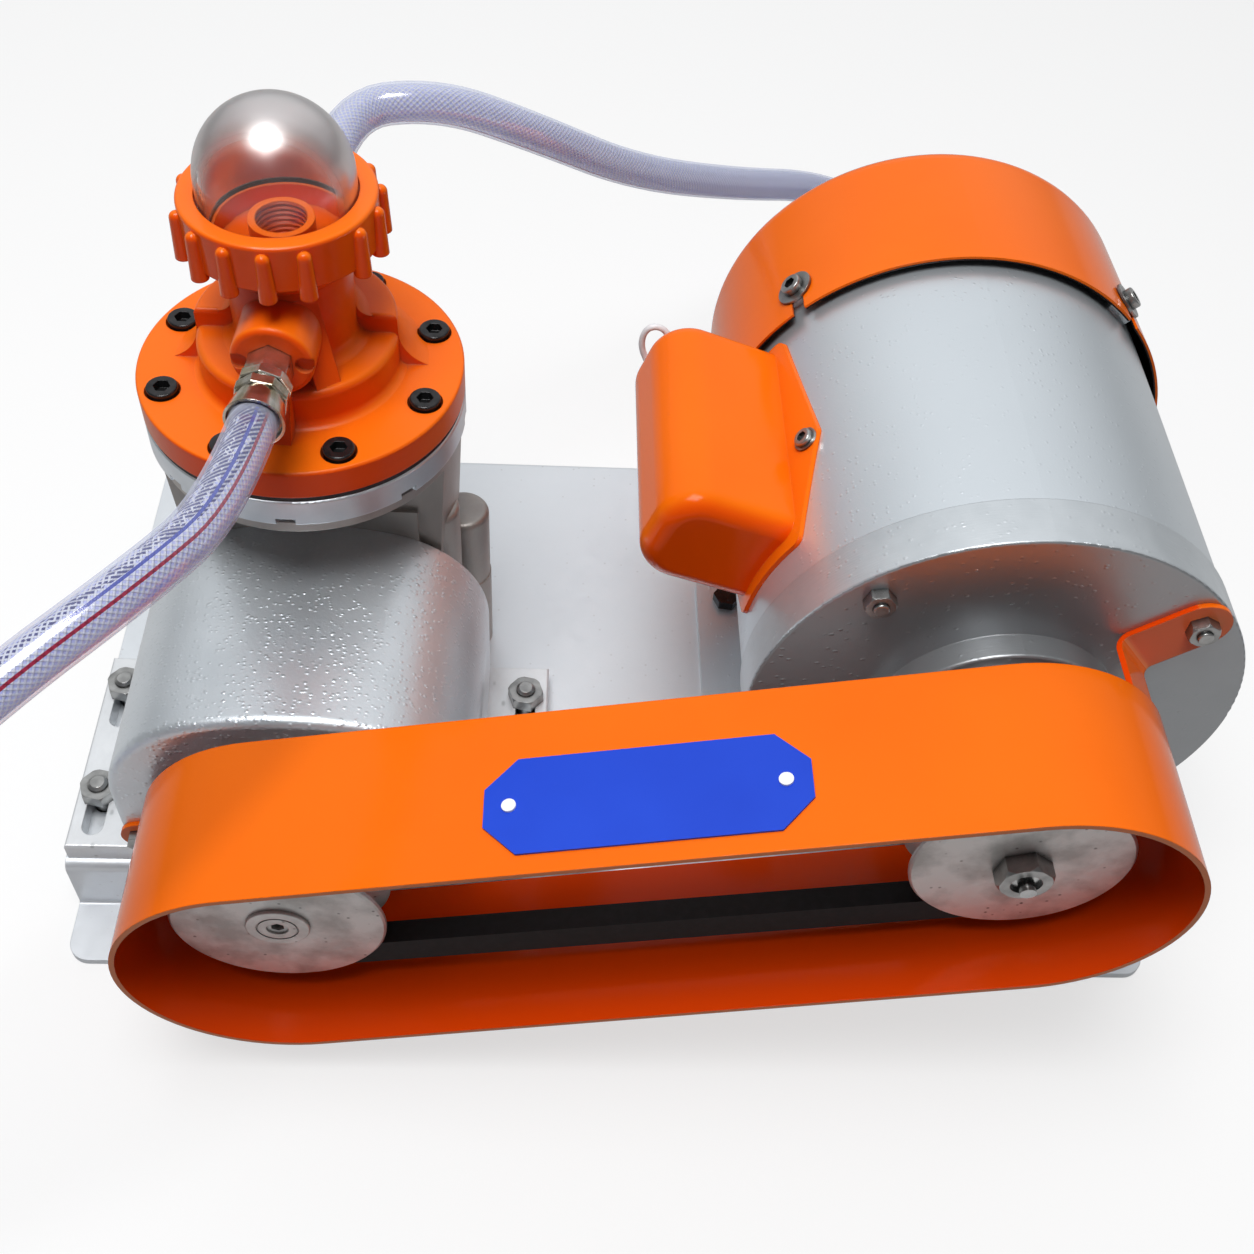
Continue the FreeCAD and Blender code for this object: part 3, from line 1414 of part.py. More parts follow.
def plate_rivet_places():
    origin, run, out = guard_top_frame()
    return [origin + run * (name_plate_along + side * rivet_reach) for side in (-1, 1)]


def rivet_shank(place):
    out = guard_top_frame()[2]
    return Part.makeCylinder(1.2, 6.0, place - out * 4.0, out)


def plate_rivets():
    out = guard_top_frame()[2]
    rivets = []
    for place in plate_rivet_places():
        seat = place + out * name_plate_thickness
        shank = Part.makeCylinder(1.2, name_plate_thickness + guard_sheet, seat, out * -1)
        head = Part.makeCylinder(2.2, 0.8, seat, out)
        rivets.append(head.fuse(shank).removeSplitter())
    return group(rivets)


nodes = [
    base_plate, pump_mount_plate, frame_screws, mount_bolts, mount_nuts,
    bearing_housing, bearing_cap, shaft_seal, crank_bearings, crankshaft,
    pump_body, rod_bearing, connecting_rod, clamp_plates, clamp_bolt,
    diaphragm, diaphragm_flange, head_cover, head_screws,
    valve_seats, valve_cages, suction_valve_disc, discharge_valve_disc,
    dome_seal, dome, union_ring,
    port_fittings, hose_ferrules, front_hose, front_hose_coil, front_hose_end,
    rear_hose, rear_hose_coil, rear_hose_end,
    motor_shell, front_end_bell, rear_end_bell, motor_bearings, stator, rotor, motor_shaft, fan, fan_cover,
    cover_screws, capacitor_cover, capacitor, tie_rods, tie_rod_nuts, motor_foot, foot_bolts,
    motor_pulley, pump_pulley, pulley_nut, pulley_bolt, belt, belt_guard, guard_bolt,
    name_plate, plate_rivets,
]

os.makedirs("parts", exist_ok=True)
for node in nodes:
    solid = node()
    if not solid.isValid():
        print("not valid:", node.__name__)
    solid.exportStep("parts/%s.step" % node.__name__)
print(len(nodes), "nodes")
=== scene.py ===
import math

import bmesh
import bpy
from mathutils import Matrix, Vector


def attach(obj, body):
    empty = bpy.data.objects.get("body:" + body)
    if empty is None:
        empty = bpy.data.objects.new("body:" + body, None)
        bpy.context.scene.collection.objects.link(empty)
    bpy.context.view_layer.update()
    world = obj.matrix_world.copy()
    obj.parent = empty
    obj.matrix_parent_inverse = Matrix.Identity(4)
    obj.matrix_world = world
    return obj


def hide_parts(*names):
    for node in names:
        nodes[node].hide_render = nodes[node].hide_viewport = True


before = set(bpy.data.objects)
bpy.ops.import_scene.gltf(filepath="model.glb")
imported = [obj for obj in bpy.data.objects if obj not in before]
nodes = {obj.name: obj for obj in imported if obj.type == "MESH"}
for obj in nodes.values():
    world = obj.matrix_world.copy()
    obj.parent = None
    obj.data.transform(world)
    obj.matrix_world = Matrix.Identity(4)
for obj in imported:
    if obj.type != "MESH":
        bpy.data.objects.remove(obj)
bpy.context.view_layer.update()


# The view: from above the pulley side, looking down at about fifty degrees through a normal lens,
# with the camera tipped a little to one side.
camera_data = bpy.data.cameras.new("view")
camera_data.sensor_fit = "HORIZONTAL"
camera_data.sensor_width = 36.0
camera_data.lens = 41.99
camera = bpy.data.objects.new("view", camera_data)
bpy.context.scene.collection.objects.link(camera)
camera_azimuth = -4.82
camera_height_angle = 50.38
camera_tip = 5.22
camera.matrix_world = (
    Matrix.Translation((-0.02865, -0.38242, 0.50782))
    @ Matrix.Rotation(math.radians(camera_azimuth), 4, "Z")
    @ Matrix.Rotation(math.radians(90.0 - camera_height_angle), 4, "X")
    @ Matrix.Rotation(math.radians(camera_tip), 4, "Z")
)
bpy.context.scene.camera = camera
bpy.context.scene.view_settings.view_transform = "Standard"


# The floor: one white studio sheet. Seen directly or through the clear pieces it is near white,
# with the set's soft shadow on it. It is darker in reflections, and the light that it throws back
# is that of a grey sheet.
def new_finish(name, metallic, roughness, gloss=0.5):
    """Material with its shader's plain values set; added nodes give it colour and relief."""
    material = bpy.data.materials.new(name)
    material.use_nodes = True
    shader = material.node_tree.nodes["Principled BSDF"]
    shader.inputs["Metallic"].default_value = metallic
    shader.inputs["Roughness"].default_value = roughness
    shader.inputs["Specular IOR Level"].default_value = gloss
    return material


def math_step(tree, operation, first, second=None):
    """One arithmetic node; each operand is a number or another node's output."""
    node = tree.nodes.new("ShaderNodeMath")
    node.operation = operation
    for socket, operand in zip(node.inputs, (first, second)):
        if isinstance(operand, (int, float)):
            socket.default_value = operand
        elif operand is not None:
            tree.links.new(operand, socket)
    return node.outputs[0]


def mix_shaders(tree, share, under, over):
    """Lays one shader over another; the share is a number or another node's output."""
    node = tree.nodes.new("ShaderNodeMixShader")
    if isinstance(share, (int, float)):
        node.inputs["Fac"].default_value = share
    else:
        tree.links.new(share, node.inputs["Fac"])
    tree.links.new(under, node.inputs[1])
    tree.links.new(over, node.inputs[2])
    return node.outputs["Shader"]


floor_half = 6.0
glow_share = 0.66
white_in_reflections = 0.5
floor_mesh = bpy.data.meshes.new("studio_floor")
floor_mesh.from_pydata(
    [(-floor_half, -floor_half, 0), (floor_half, -floor_half, 0), (floor_half, floor_half, 0),
     (-floor_half, floor_half, 0)],
    [], [(0, 1, 2, 3)])
floor = bpy.data.objects.new("studio_floor", floor_mesh)
bpy.context.scene.collection.objects.link(floor)
floor_paper = new_finish("white_paper", 0.0, 0.9, 0.0)
paper_tree = floor_paper.node_tree
dull_paper = paper_tree.nodes["Principled BSDF"]
dull_paper.inputs["Base Color"].default_value = (0.23, 0.23, 0.23, 1)
lit_paper = paper_tree.nodes.new("ShaderNodeBsdfDiffuse")
lit_paper.inputs["Color"].default_value = (0.98, 0.98, 0.98, 1)
glow = paper_tree.nodes.new("ShaderNodeEmission")
glow.inputs["Color"].default_value = (1.0, 1.0, 1.0, 1)
glow.inputs["Strength"].default_value = 1.0
ray = paper_tree.nodes.new("ShaderNodeLightPath")
seen = math_step(
    paper_tree, "MAXIMUM", ray.outputs["Is Camera Ray"], ray.outputs["Is Transmission Ray"])
mirrored = math_step(paper_tree, "MULTIPLY", ray.outputs["Is Glossy Ray"], white_in_reflections)
white_share = math_step(paper_tree, "MAXIMUM", seen, mirrored)
white = mix_shaders(paper_tree, glow_share, lit_paper.outputs["BSDF"], glow.outputs["Emission"])
paper = mix_shaders(paper_tree, white_share, dull_paper.outputs["BSDF"], white)
paper_tree.links.new(paper, paper_tree.nodes["Material Output"].inputs["Surface"])
floor_mesh.materials.append(floor_paper)


# The light: a room that is pale behind the set and dimmer in front, at both sides and near the
# floor, with one soft lamp overhead, a little to the left and to the front. The room has a least
# strength for each way that it is seen: directly, through the clear pieces and in reflections.
def axes_of(tree, vector):
    """The X, Y and Z outputs of a vector."""
    node = tree.nodes.new("ShaderNodeSeparateXYZ")
    tree.links.new(vector, node.inputs["Vector"])
    return node.outputs


def rise(tree, value, start, end, low=0.0, high=1.0, kind="SMOOTHSTEP"):
    """Goes from low to high while the value goes from start to end."""
    node = tree.nodes.new("ShaderNodeMapRange")
    node.interpolation_type = kind
    for name, number in (("From Min", start), ("From Max", end), ("To Min", low), ("To Max", high)):
        node.inputs[name].default_value = number
    tree.links.new(value, node.inputs["Value"])
    return node.outputs["Result"]


world = bpy.data.worlds.new("studio_room")
bpy.context.scene.world = world
world.use_nodes = True
room = world.node_tree
way = axes_of(room, room.nodes.new("ShaderNodeTexCoord").outputs["Generated"])
pale_behind = rise(room, way["Y"], -0.20, 0.55, 0.11, 0.80)
dim_low = rise(room, way["Z"], 0.0, 0.35, 0.45, 1.0)
dim_sides = rise(room, math_step(room, "ABSOLUTE", way["X"]), 0.25, 0.90, 1.0, 0.50)
strength = math_step(room, "MULTIPLY", pale_behind, math_step(room, "MULTIPLY", dim_low, dim_sides))
room_ray = room.nodes.new("ShaderNodeLightPath")
for ray_name, least in (
        ("Is Camera Ray", 0.95), ("Is Transmission Ray", 0.60), ("Is Glossy Ray", 0.16)):
    shown = math_step(room, "MULTIPLY", room_ray.outputs[ray_name], least)
    strength = math_step(room, "MAXIMUM", strength, shown)
room.links.new(strength, room.nodes["Background"].inputs["Strength"])
room.nodes["Background"].inputs["Color"].default_value = (0.96, 0.98, 1.0, 1)

lamp_place = Vector((-0.20, -0.27, 1.50))
lamp_aim = Vector((0.0, 0.0, 0.1))
lamp_side = 0.7
lamp_data = bpy.data.lights.new("lamp_overhead", "AREA")
lamp_data.shape = "RECTANGLE"
lamp_data.size = lamp_side
lamp_data.size_y = lamp_side
lamp_data.energy = 17.5
lamp = bpy.data.objects.new("lamp_overhead", lamp_data)
bpy.context.scene.collection.objects.link(lamp)
lamp.location = lamp_place
lamp.rotation_euler = (lamp_aim - lamp_place).to_track_quat("-Z", "Y").to_euler()


# The hoses: clear flexible tube with a white braid in its wall, one blue and one red tracer thread
# and a blue print under the braid. Each is about a metre and a half long, and is crimped into a
# coupling at both ends.
hose_radius = 0.0075
braid_radius = 0.0066
coil_radius = 0.075
coil_turns = 2.33
points_per_turn = 16
turn_slack = 1.002
tail_length = 0.055
tail_rise = 0.0025
front_coil_centre = (-0.368, -0.212)
rear_coil_centre = (0.178, 0.230)
front_route = [
    (-0.11714, -0.0580, 0.2065),
    (-0.1205, -0.0980, 0.2090),
    (-0.1360, -0.1290, 0.2140),
    (-0.1680, -0.1650, 0.2100),
    (-0.2120, -0.2030, 0.1860),
    (-0.2560, -0.2400, 0.1300),
    (-0.2940, -0.2660, 0.0700),
    (-0.3450, -0.2835, 0.0430),
]
rear_route = [
    (-0.11086, 0.0622, 0.2065),
    (-0.1095, 0.1000, 0.2130),
    (-0.0740, 0.1070, 0.2150),
    (-0.0400, 0.1220, 0.1940),
    (0.0020, 0.1600, 0.1530),
    (0.0520, 0.2120, 0.1150),
    (0.1020, 0.2640, 0.0820),
    (0.1440, 0.2968, 0.0450),
]


def coil_points(centre, last):
    """Control points of the coil, wound clockwise and downwards from the route's last point."""
    start = math.atan2(last[1] - centre[1], last[0] - centre[0])
    count = round(coil_turns * points_per_turn)
    reach = coil_radius / math.cos(math.pi / points_per_turn) * turn_slack
    points = []
    for i in range(1, count + 1):
        angle = start - 2 * math.pi * coil_turns * i / count
        z = last[2] + (hose_radius - last[2]) * i / count
        points.append((centre[0] + reach * math.cos(angle), centre[1] + reach * math.sin(angle), z))
    end = start - 2 * math.pi * coil_turns
    heading = (math.sin(end), -math.cos(end))
    x = centre[0] + coil_radius * math.cos(end)
    y = centre[1] + coil_radius * math.sin(end)
    for share_of_tail in (0.45, 1.0):
        run = tail_length * share_of_tail
        z = hose_radius + tail_rise * share_of_tail
        points.append((x + heading[0] * run, y + heading[1] * run, z))
    return points


def smooth_line(name, points):
    """Places along the smooth curve that has these control points."""
    data = bpy.data.curves.new(name, "CURVE")
    data.dimensions = "3D"
    spline = data.splines.new("NURBS")
    spline.points.add(len(points) - 1)
    for control, place in zip(spline.points, points):
        control.co = (*place, 1.0)
    spline.order_u = 3
    spline.use_endpoint_u = True
    spline.resolution_u = 8
    thing = bpy.data.objects.new(name, data)
    bpy.context.scene.collection.objects.link(thing)
    bpy.context.view_layer.update()
    mesh = bpy.data.meshes.new_from_object(thing)
    line = [vertex.co.copy() for vertex in mesh.vertices]
    bpy.data.objects.remove(thing)
    bpy.data.meshes.remove(mesh)
    bpy.data.curves.remove(data)
    return line


def tube_along(name, line, radius, turn, sides=40):
    """Round tube along a line; u counts turns round it, from a turn, and v metres along it."""
    mesh = bpy.data.meshes.new(name)
    work = bmesh.new()
    unrolled = work.loops.layers.uv.new("unrolled")
    heading = (line[1] - line[0]).normalized()
    side = heading.cross(Vector((0, 0, 1))).normalized()
    rings = []
    lengths = [0.0]
    for i, place in enumerate(line):
        ahead = line[min(i + 1, len(line) - 1)] - line[max(i - 1, 0)]
        new_heading = ahead.normalized()
        side = heading.rotation_difference(new_heading) @ side
        side = (side - new_heading * side.dot(new_heading)).normalized()
        heading = new_heading
        up = side.cross(heading)
        ring = []
        for k in range(sides):
            angle = 2 * math.pi * k / sides
            outward = side * math.cos(angle) + up * math.sin(angle)
            ring.append(work.verts.new(place + outward * radius))
        rings.append(ring)
        if i:
            lengths.append(lengths[-1] + (place - line[i - 1]).length)
    for i in range(len(rings) - 1):
        for k in range(sides):
            after = (k + 1) % sides
            patch = (rings[i][k], rings[i][after], rings[i + 1][after], rings[i + 1][k])
            face = work.faces.new(patch)
            face.smooth = True
            for loop, (u, v) in zip(face.loops, ((k, i), (k + 1, i), (k + 1, i + 1), (k, i + 1))):
                loop[unrolled].uv = (u / sides + turn, lengths[v])
    for ring in (rings[0][::-1], rings[-1]):
        work.faces.new(ring)
    bmesh.ops.recalc_face_normals(work, faces=work.faces)
    work.to_mesh(mesh)
    work.free()
    thing = bpy.data.objects.new(name, mesh)
    bpy.context.scene.collection.objects.link(thing)
    return thing


def mix_colours(tree, mask, under, over):
    """Lays one colour over another where the mask is one; each is a colour or an output."""
    node = tree.nodes.new("ShaderNodeMix")
    node.data_type = "RGBA"
    tree.links.new(mask, node.inputs["Factor"])
    for name, colour in (("A", under), ("B", over)):
        if isinstance(colour, tuple):
            node.inputs[name].default_value = (*colour, 1.0)
        else:
            tree.links.new(colour, node.inputs[name])
    return node.outputs["Result"]


def noise_over(tree, vector, cells, detail=2.0, distortion=0.0):
    """Noise with this many cells along each axis of the vector."""
    mapping = tree.nodes.new("ShaderNodeMapping")
    mapping.inputs["Scale"].default_value = cells
    noise = tree.nodes.new("ShaderNodeTexNoise")
    noise.inputs["Scale"].default_value = 1.0
    noise.inputs["Detail"].default_value = detail
    noise.inputs["Distortion"].default_value = distortion
    tree.links.new(vector, mapping.inputs["Vector"])
    tree.links.new(mapping.outputs["Vector"], noise.inputs["Vector"])
    return noise.outputs["Fac"]


def relief(material, value, height_of_relief):
    """Bump of this height in metres where the value is one; a second one adds to the first."""
    tree = material.node_tree
    shader = tree.nodes["Principled BSDF"]
    bump = tree.nodes.new("ShaderNodeBump")
    bump.inputs["Distance"].default_value = height_of_relief
    bump.inputs["Strength"].default_value = 1.0
    tree.links.new(value, bump.inputs["Height"])
    if shader.inputs["Normal"].links:
        tree.links.new(shader.inputs["Normal"].links[0].from_socket, bump.inputs["Normal"])
    tree.links.new(bump.outputs["Normal"], shader.inputs["Normal"])


def stripe_round(tree, u, middle, half_width):
    """One on a lengthwise stripe at a place round the tube; its width may be an output."""
    away = math_step(tree, "PINGPONG", math_step(tree, "SUBTRACT", u, middle - 0.5), 1.0)
    off = math_step(tree, "ABSOLUTE", math_step(tree, "SUBTRACT", away, 0.5))
    return math_step(tree, "LESS_THAN", off, half_width)


strands = 20
strand_lead = 0.042
strand_width = 0.46
strand_softness = 0.08
strand_height = 0.0003
light_through_strands = 0.40
thread_half_width = 0.012
blue_thread_place = 0.30
red_thread_place = 0.383
blue_print_place = 0.222
blue_dots_place = 0.235
dots_half_width = 0.030
dots_least_gap = 0.3
print_narrows_at = 0.015
print_fades_at = 0.09
print_half_widths = (0.15, 0.045)
smudge_levels = (0.42, 0.56)
smudge_cells = (24.0, 160.0, 1.0)
print_hidden_by_strand = 0.65
print_turned_away = 0.5


def braid_finish():
    """White yarn wound both ways over a lilac core, with the tracers and a blue print."""
    material = new_finish("white_braid", 0.0, 0.30)
    tree = material.node_tree
    shader = tree.nodes["Principled BSDF"]
    place = tree.nodes.new("ShaderNodeUVMap")
    place.uv_map = "unrolled"
    axes = axes_of(tree, place.outputs["UV"])
    u = axes["X"]
    v = axes["Y"]
    round_count = math_step(tree, "MULTIPLY", u, strands)
    along_count = math_step(tree, "MULTIPLY", v, strands / strand_lead)
    yarns = []
    for operation in ("ADD", "SUBTRACT"):
        wound = math_step(tree, "FRACT", math_step(tree, operation, round_count, along_count))
        away = math_step(tree, "ABSOLUTE", math_step(tree, "SUBTRACT", wound, 0.5))
        edge = strand_width / 2
        yarns.append(rise(tree, away, edge + strand_softness, edge - strand_softness))
    crossing = math_step(tree, "MULTIPLY", *yarns)
    either = math_step(tree, "MAXIMUM", *yarns)
    gap = math_step(tree, "SUBTRACT", 1.0, either)
    smudge_level, print_half_width = (
        rise(tree, v, print_narrows_at, print_fades_at, near_value, far_value, "LINEAR")
        for near_value, far_value in (smudge_levels, print_half_widths))
    blots = noise_over(tree, place.outputs["UV"], smudge_cells)
    smudge = math_step(tree, "GREATER_THAN", blots, smudge_level)
    print_stripe = stripe_round(tree, u, blue_print_place, print_half_width)
    wide_print = math_step(tree, "MULTIPLY", print_stripe, smudge)
    hidden = math_step(tree, "MULTIPLY", yarns[0], print_hidden_by_strand)
    shown_print = math_step(tree, "MULTIPLY", wide_print, math_step(tree, "SUBTRACT", 1.0, hidden))
    dots = math_step(tree, "MULTIPLY", stripe_round(tree, u, blue_dots_place, dots_half_width),
                     math_step(tree, "GREATER_THAN", gap, dots_least_gap))
    colour = mix_colours(tree, either, (0.64, 0.67, 1.0), (0.88, 0.91, 1.0))
    colour = mix_colours(tree, crossing, colour, (1.0, 1.0, 1.0))
    for mask, thread in (
            (math_step(tree, "MAXIMUM", shown_print, dots), (0.007, 0.012, 0.20)),
            (stripe_round(tree, u, blue_thread_place, thread_half_width), (0.010, 0.045, 0.50)),
            (stripe_round(tree, u, red_thread_place, thread_half_width), (0.50, 0.003, 0.05))):
        colour = mix_colours(tree, mask, colour, thread)
    tree.links.new(colour, shader.inputs["Base Color"])
    relief(material, math_step(tree, "ADD", either, crossing), strand_height)
    soft = tree.nodes.new("ShaderNodeBsdfTranslucent")
    tree.links.new(colour, soft.inputs["Color"])
    yarn = mix_shaders(tree, light_through_strands, shader.outputs["BSDF"], soft.outputs["BSDF"])
    tree.links.new(yarn, tree.nodes["Material Output"].inputs["Surface"])
    return material


wall_gloss_share = 0.11
wall_edge_blend = 0.14
ripple_height = 0.00004
ripple_cells = (20.0, 450.0, 1.0)


def clear_wall_finish():
    """The clear outer wall: it tints what lies behind it and has a slightly rippled gloss."""
    material = new_finish("clear_wall", 0.0, 0.5)
    tree = material.node_tree
    shader = tree.nodes["Principled BSDF"]
    shader.inputs["Base Color"].default_value = (0.80, 0.84, 1.0, 1)
    gloss = tree.nodes.new("ShaderNodeBsdfAnisotropic")
    gloss.inputs["Color"].default_value = (1.0, 1.0, 1.0, 1)
    gloss.inputs["Roughness"].default_value = 0.16
    through = tree.nodes.new("ShaderNodeBsdfTransparent")
    through.inputs["Color"].default_value = (0.95, 0.965, 1.0, 1)
    place = tree.nodes.new("ShaderNodeUVMap")
    place.uv_map = "unrolled"
    ripple = tree.nodes.new("ShaderNodeBump")
    ripple.inputs["Distance"].default_value = ripple_height
    tree.links.new(noise_over(tree, place.outputs["UV"], ripple_cells), ripple.inputs["Height"])
    tree.links.new(ripple.outputs["Normal"], gloss.inputs["Normal"])
    edge = tree.nodes.new("ShaderNodeLayerWeight")
    edge.inputs["Blend"].default_value = wall_edge_blend
    path = tree.nodes.new("ShaderNodeLightPath")
    no_shadow = math_step(tree, "SUBTRACT", 1.0, path.outputs["Is Shadow Ray"])
    wall_share = math_step(tree, "MULTIPLY", edge.outputs["Facing"], no_shadow)
    gloss_share = math_step(tree, "MULTIPLY", no_shadow, wall_gloss_share)
    wall = mix_shaders(tree, wall_share, through.outputs["BSDF"], shader.outputs["BSDF"])
    glossy_wall = mix_shaders(tree, gloss_share, wall, gloss.outputs["BSDF"])
    tree.links.new(glossy_wall, tree.nodes["Material Output"].inputs["Surface"])
    return material


braid = braid_finish()
clear_wall = clear_wall_finish()


def make_hose(side, route, centre, turn):
    """One hose, wall and braid, that leaves its port along the route and ends in its coil."""
    line = smooth_line(side + "_hose_line", route + coil_points(centre, route[-1]))
    wall = tube_along(side + "_hose_wall", line, hose_radius, turn)
    wall.data.materials.append(clear_wall)
    inner = tube_along(side + "_hose_braid", line, braid_radius, turn)
    inner.data.materials.append(braid)
    for piece in (wall, inner):
        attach(piece, "frame")
    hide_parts(side + "_hose", side + "_hose_coil")


make_hose("front", front_route, front_coil_centre, 0.0)
make_hose("rear", rear_route, rear_coil_centre, print_turned_away)


# The base: one steel sheet bent into a low bridge with feet along both sides, sprayed silver. The
# mounting plate on it is a sawn steel flat with four slots, sprayed too; it carries the pump.
spot_full_at = 0.2


def grain(material, scale, detail=3.0, squeeze=(1.0, 1.0, 1.0), distortion=0.0):
    """Noise with this many cells a metre; it is finer along an axis with a larger squeeze."""
    tree = material.node_tree
    place = tree.nodes.new("ShaderNodeTexCoord")
    cells = [scale * s for s in squeeze]
    return noise_over(tree, place.outputs["Object"], cells, detail, distortion)


def specks(material, scale, size, share_of_cells, squeeze=(1.0, 1.0, 1.0)):
    """Round spots, one in some of the cells: one in a spot's middle, nothing outside it."""
    tree = material.node_tree
    place = tree.nodes.new("ShaderNodeTexCoord")
    mapping = tree.nodes.new("ShaderNodeMapping")
    mapping.inputs["Scale"].default_value = [scale * s for s in squeeze]
    cells = tree.nodes.new("ShaderNodeTexVoronoi")
    cells.inputs["Scale"].default_value = 1.0
    tree.links.new(place.outputs["Object"], mapping.inputs["Vector"])
    tree.links.new(mapping.outputs["Vector"], cells.inputs["Vector"])
    spot = rise(tree, cells.outputs["Distance"], size, size * spot_full_at)
    chance = axes_of(tree, cells.outputs["Color"])["X"]
    return math_step(tree, "MULTIPLY", spot, math_step(tree, "LESS_THAN", chance, share_of_cells))


def shades(material, value, stops, socket="Base Color"):
    """Ramp with two (place, colour or number) stops from a value into a socket of the shader."""
    tree = material.node_tree
    ramp = tree.nodes.new("ShaderNodeValToRGB")
    for element, (place, colour) in zip(ramp.color_ramp.elements, stops):
        element.position = place
        rgb = colour if isinstance(colour, tuple) else (colour, colour, colour)
        element.color = (*rgb, 1.0)
    tree.links.new(value, ramp.inputs["Fac"])
    tree.links.new(ramp.outputs["Color"], tree.nodes["Principled BSDF"].inputs[socket])


def stain(material, mask, colour):
    """Lays another colour over the finish where the mask is one."""
    tree = material.node_tree
    socket = tree.nodes["Principled BSDF"].inputs["Base Color"]
    tree.links.new(mix_colours(tree, mask, socket.links[0].from_socket, colour), socket)


def corners(material, distance, open_share, closed_share, most):
    """Mask that rises to its most where surfaces nearer than the distance close a spot in."""
    tree = material.node_tree
    hollow = tree.nodes.new("ShaderNodeAmbientOcclusion")
    hollow.samples = 6
    hollow.inputs["Distance"].default_value = distance
    return rise(tree, hollow.outputs["AO"], open_share, closed_share, 0.0, most)


def soft_edges(material, radius):
    """Lets sharp edges catch the light as if rounded to this radius; called before any relief."""
    tree = material.node_tree
    bevel = tree.nodes.new("ShaderNodeBevel")
    bevel.samples = 4
    bevel.inputs["Radius"].default_value = radius
    tree.links.new(bevel.outputs["Normal"], tree.nodes["Principled BSDF"].inputs["Normal"])


def dress(material, *names):
    """Gives CAD nodes this finish."""
    for name in names:
        data = nodes[name].data
        data.materials.clear()
        data.materials.append(material)


silver_sheet = new_finish("silver_sheet", 0.55, 0.34)
soft_edges(silver_sheet, 0.0005)
shades(silver_sheet, grain(silver_sheet, 9.0, 5.0),
       [(0.30, (0.74, 0.775, 0.81)), (0.70, (0.79, 0.825, 0.86))])
stain(silver_sheet, specks(silver_sheet, 420.0, 0.30, 0.10), (0.66, 0.68, 0.70))
shades(silver_sheet, grain(silver_sheet, 260.0, 4.0), [(0.35, 0.36), (0.65, 0.48)], "Roughness")
relief(silver_sheet, grain(silver_sheet, 900.0, 2.0), 0.00003)
dress(silver_sheet, "base_plate")

silver_flat = new_finish("silver_flat", 0.50, 0.36)
soft_edges(silver_flat, 0.0005)
shades(silver_flat, grain(silver_flat, 60.0, 6.0),
       [(0.30, (0.74, 0.76, 0.78)), (0.65, (0.84, 0.86, 0.88))])
stain(silver_flat, specks(silver_flat, 260.0, 0.30, 0.20, (1.0, 0.6, 1.0)), (0.52, 0.54, 0.55))
relief(silver_flat, grain(silver_flat, 420.0, 4.0), 0.00012)
dress(silver_flat, "pump_mount_plate")


# The fasteners: bolts, rods and nuts plated with zinc and dulled, with their corners darkened as
# painted shade, and socket screws and hidden bolts of blackened steel. They hold the plate, the
# motor, the covers, the guard and the head.
zinc_plating = new_finish("zinc_plating", 0.90, 0.28)
soft_edges(zinc_plating, 0.0003)
shades(zinc_plating, grain(zinc_plating, 180.0, 5.0),
       [(0.30, (0.26, 0.26, 0.255)), (0.70, (0.50, 0.50, 0.49))])
# Painted shade: the corners are darkened to near black.
stain(zinc_plating, corners(zinc_plating, 0.005, 0.85, 0.45, 0.95), (0.03, 0.03, 0.03))
relief(zinc_plating, grain(zinc_plating, 900.0, 3.0), 0.00003)
dress(zinc_plating, "mount_bolts", "mount_nuts", "tie_rods", "tie_rod_nuts", "cover_screws",
      "pulley_nut", "guard_bolt")

black_oxide = new_finish("black_oxide", 0.6, 0.20)
soft_edges(black_oxide, 0.0004)
shades(black_oxide, grain(black_oxide, 300.0, 3.0),
       [(0.30, (0.020, 0.020, 0.021)), (0.70, (0.042, 0.042, 0.044))])
dress(black_oxide, "frame_screws", "head_screws", "clamp_bolt", "foot_bolts")


# The bearing housing: an arched iron casting sprayed with silver hammered paint, whose skin dries
# into small drops and pits. A bearing is pressed in at each end, and a round cap that carries the
# shaft's seal closes the front.
hammered = new_finish("hammered_silver", 0.68, 0.38)
soft_edges(hammered, 0.0008)
shades(hammered, grain(hammered, 30.0, 3.0),
       [(0.30, (0.68, 0.73, 0.77)), (0.70, (0.77, 0.82, 0.86))])
hammered_shader = hammered.node_tree.nodes["Principled BSDF"]
hammered_shader.inputs["Coat Weight"].default_value = 0.35
hammered_shader.inputs["Coat Roughness"].default_value = 0.12
relief(hammered, grain(hammered, 900.0, 2.0), 0.00005)
relief(hammered, specks(hammered, 620.0, 0.44, 0.50, (0.7, 1.0, 1.0)), 0.00011)
relief(hammered, specks(hammered, 430.0, 0.34, 0.45, (0.8, 1.0, 0.8)), 0.00012)
dress(hammered, "bearing_housing")


# The pump under the head: a rough casting for the body, the cap and the rod, ground steel for the
# crank and the bearings, rubber for the seals, discs and diaphragm, and turned aluminium for the
# ring and the plates that clamp the diaphragm.
bare_casting = new_finish("bare_casting", 0.65, 0.40)
soft_edges(bare_casting, 0.0006)
shades(bare_casting, grain(bare_casting, 45.0, 6.0, (1.0, 1.0, 0.4)),
       [(0.25, (0.30, 0.275, 0.26)), (0.70, (0.48, 0.45, 0.42))])
stain(bare_casting, specks(bare_casting, 150.0, 0.25, 0.25, (1.0, 1.0, 0.4)), (0.12, 0.10, 0.09))
relief(bare_casting, grain(bare_casting, 700.0, 4.0), 0.00010)
dress(bare_casting, "pump_body", "bearing_cap", "connecting_rod")

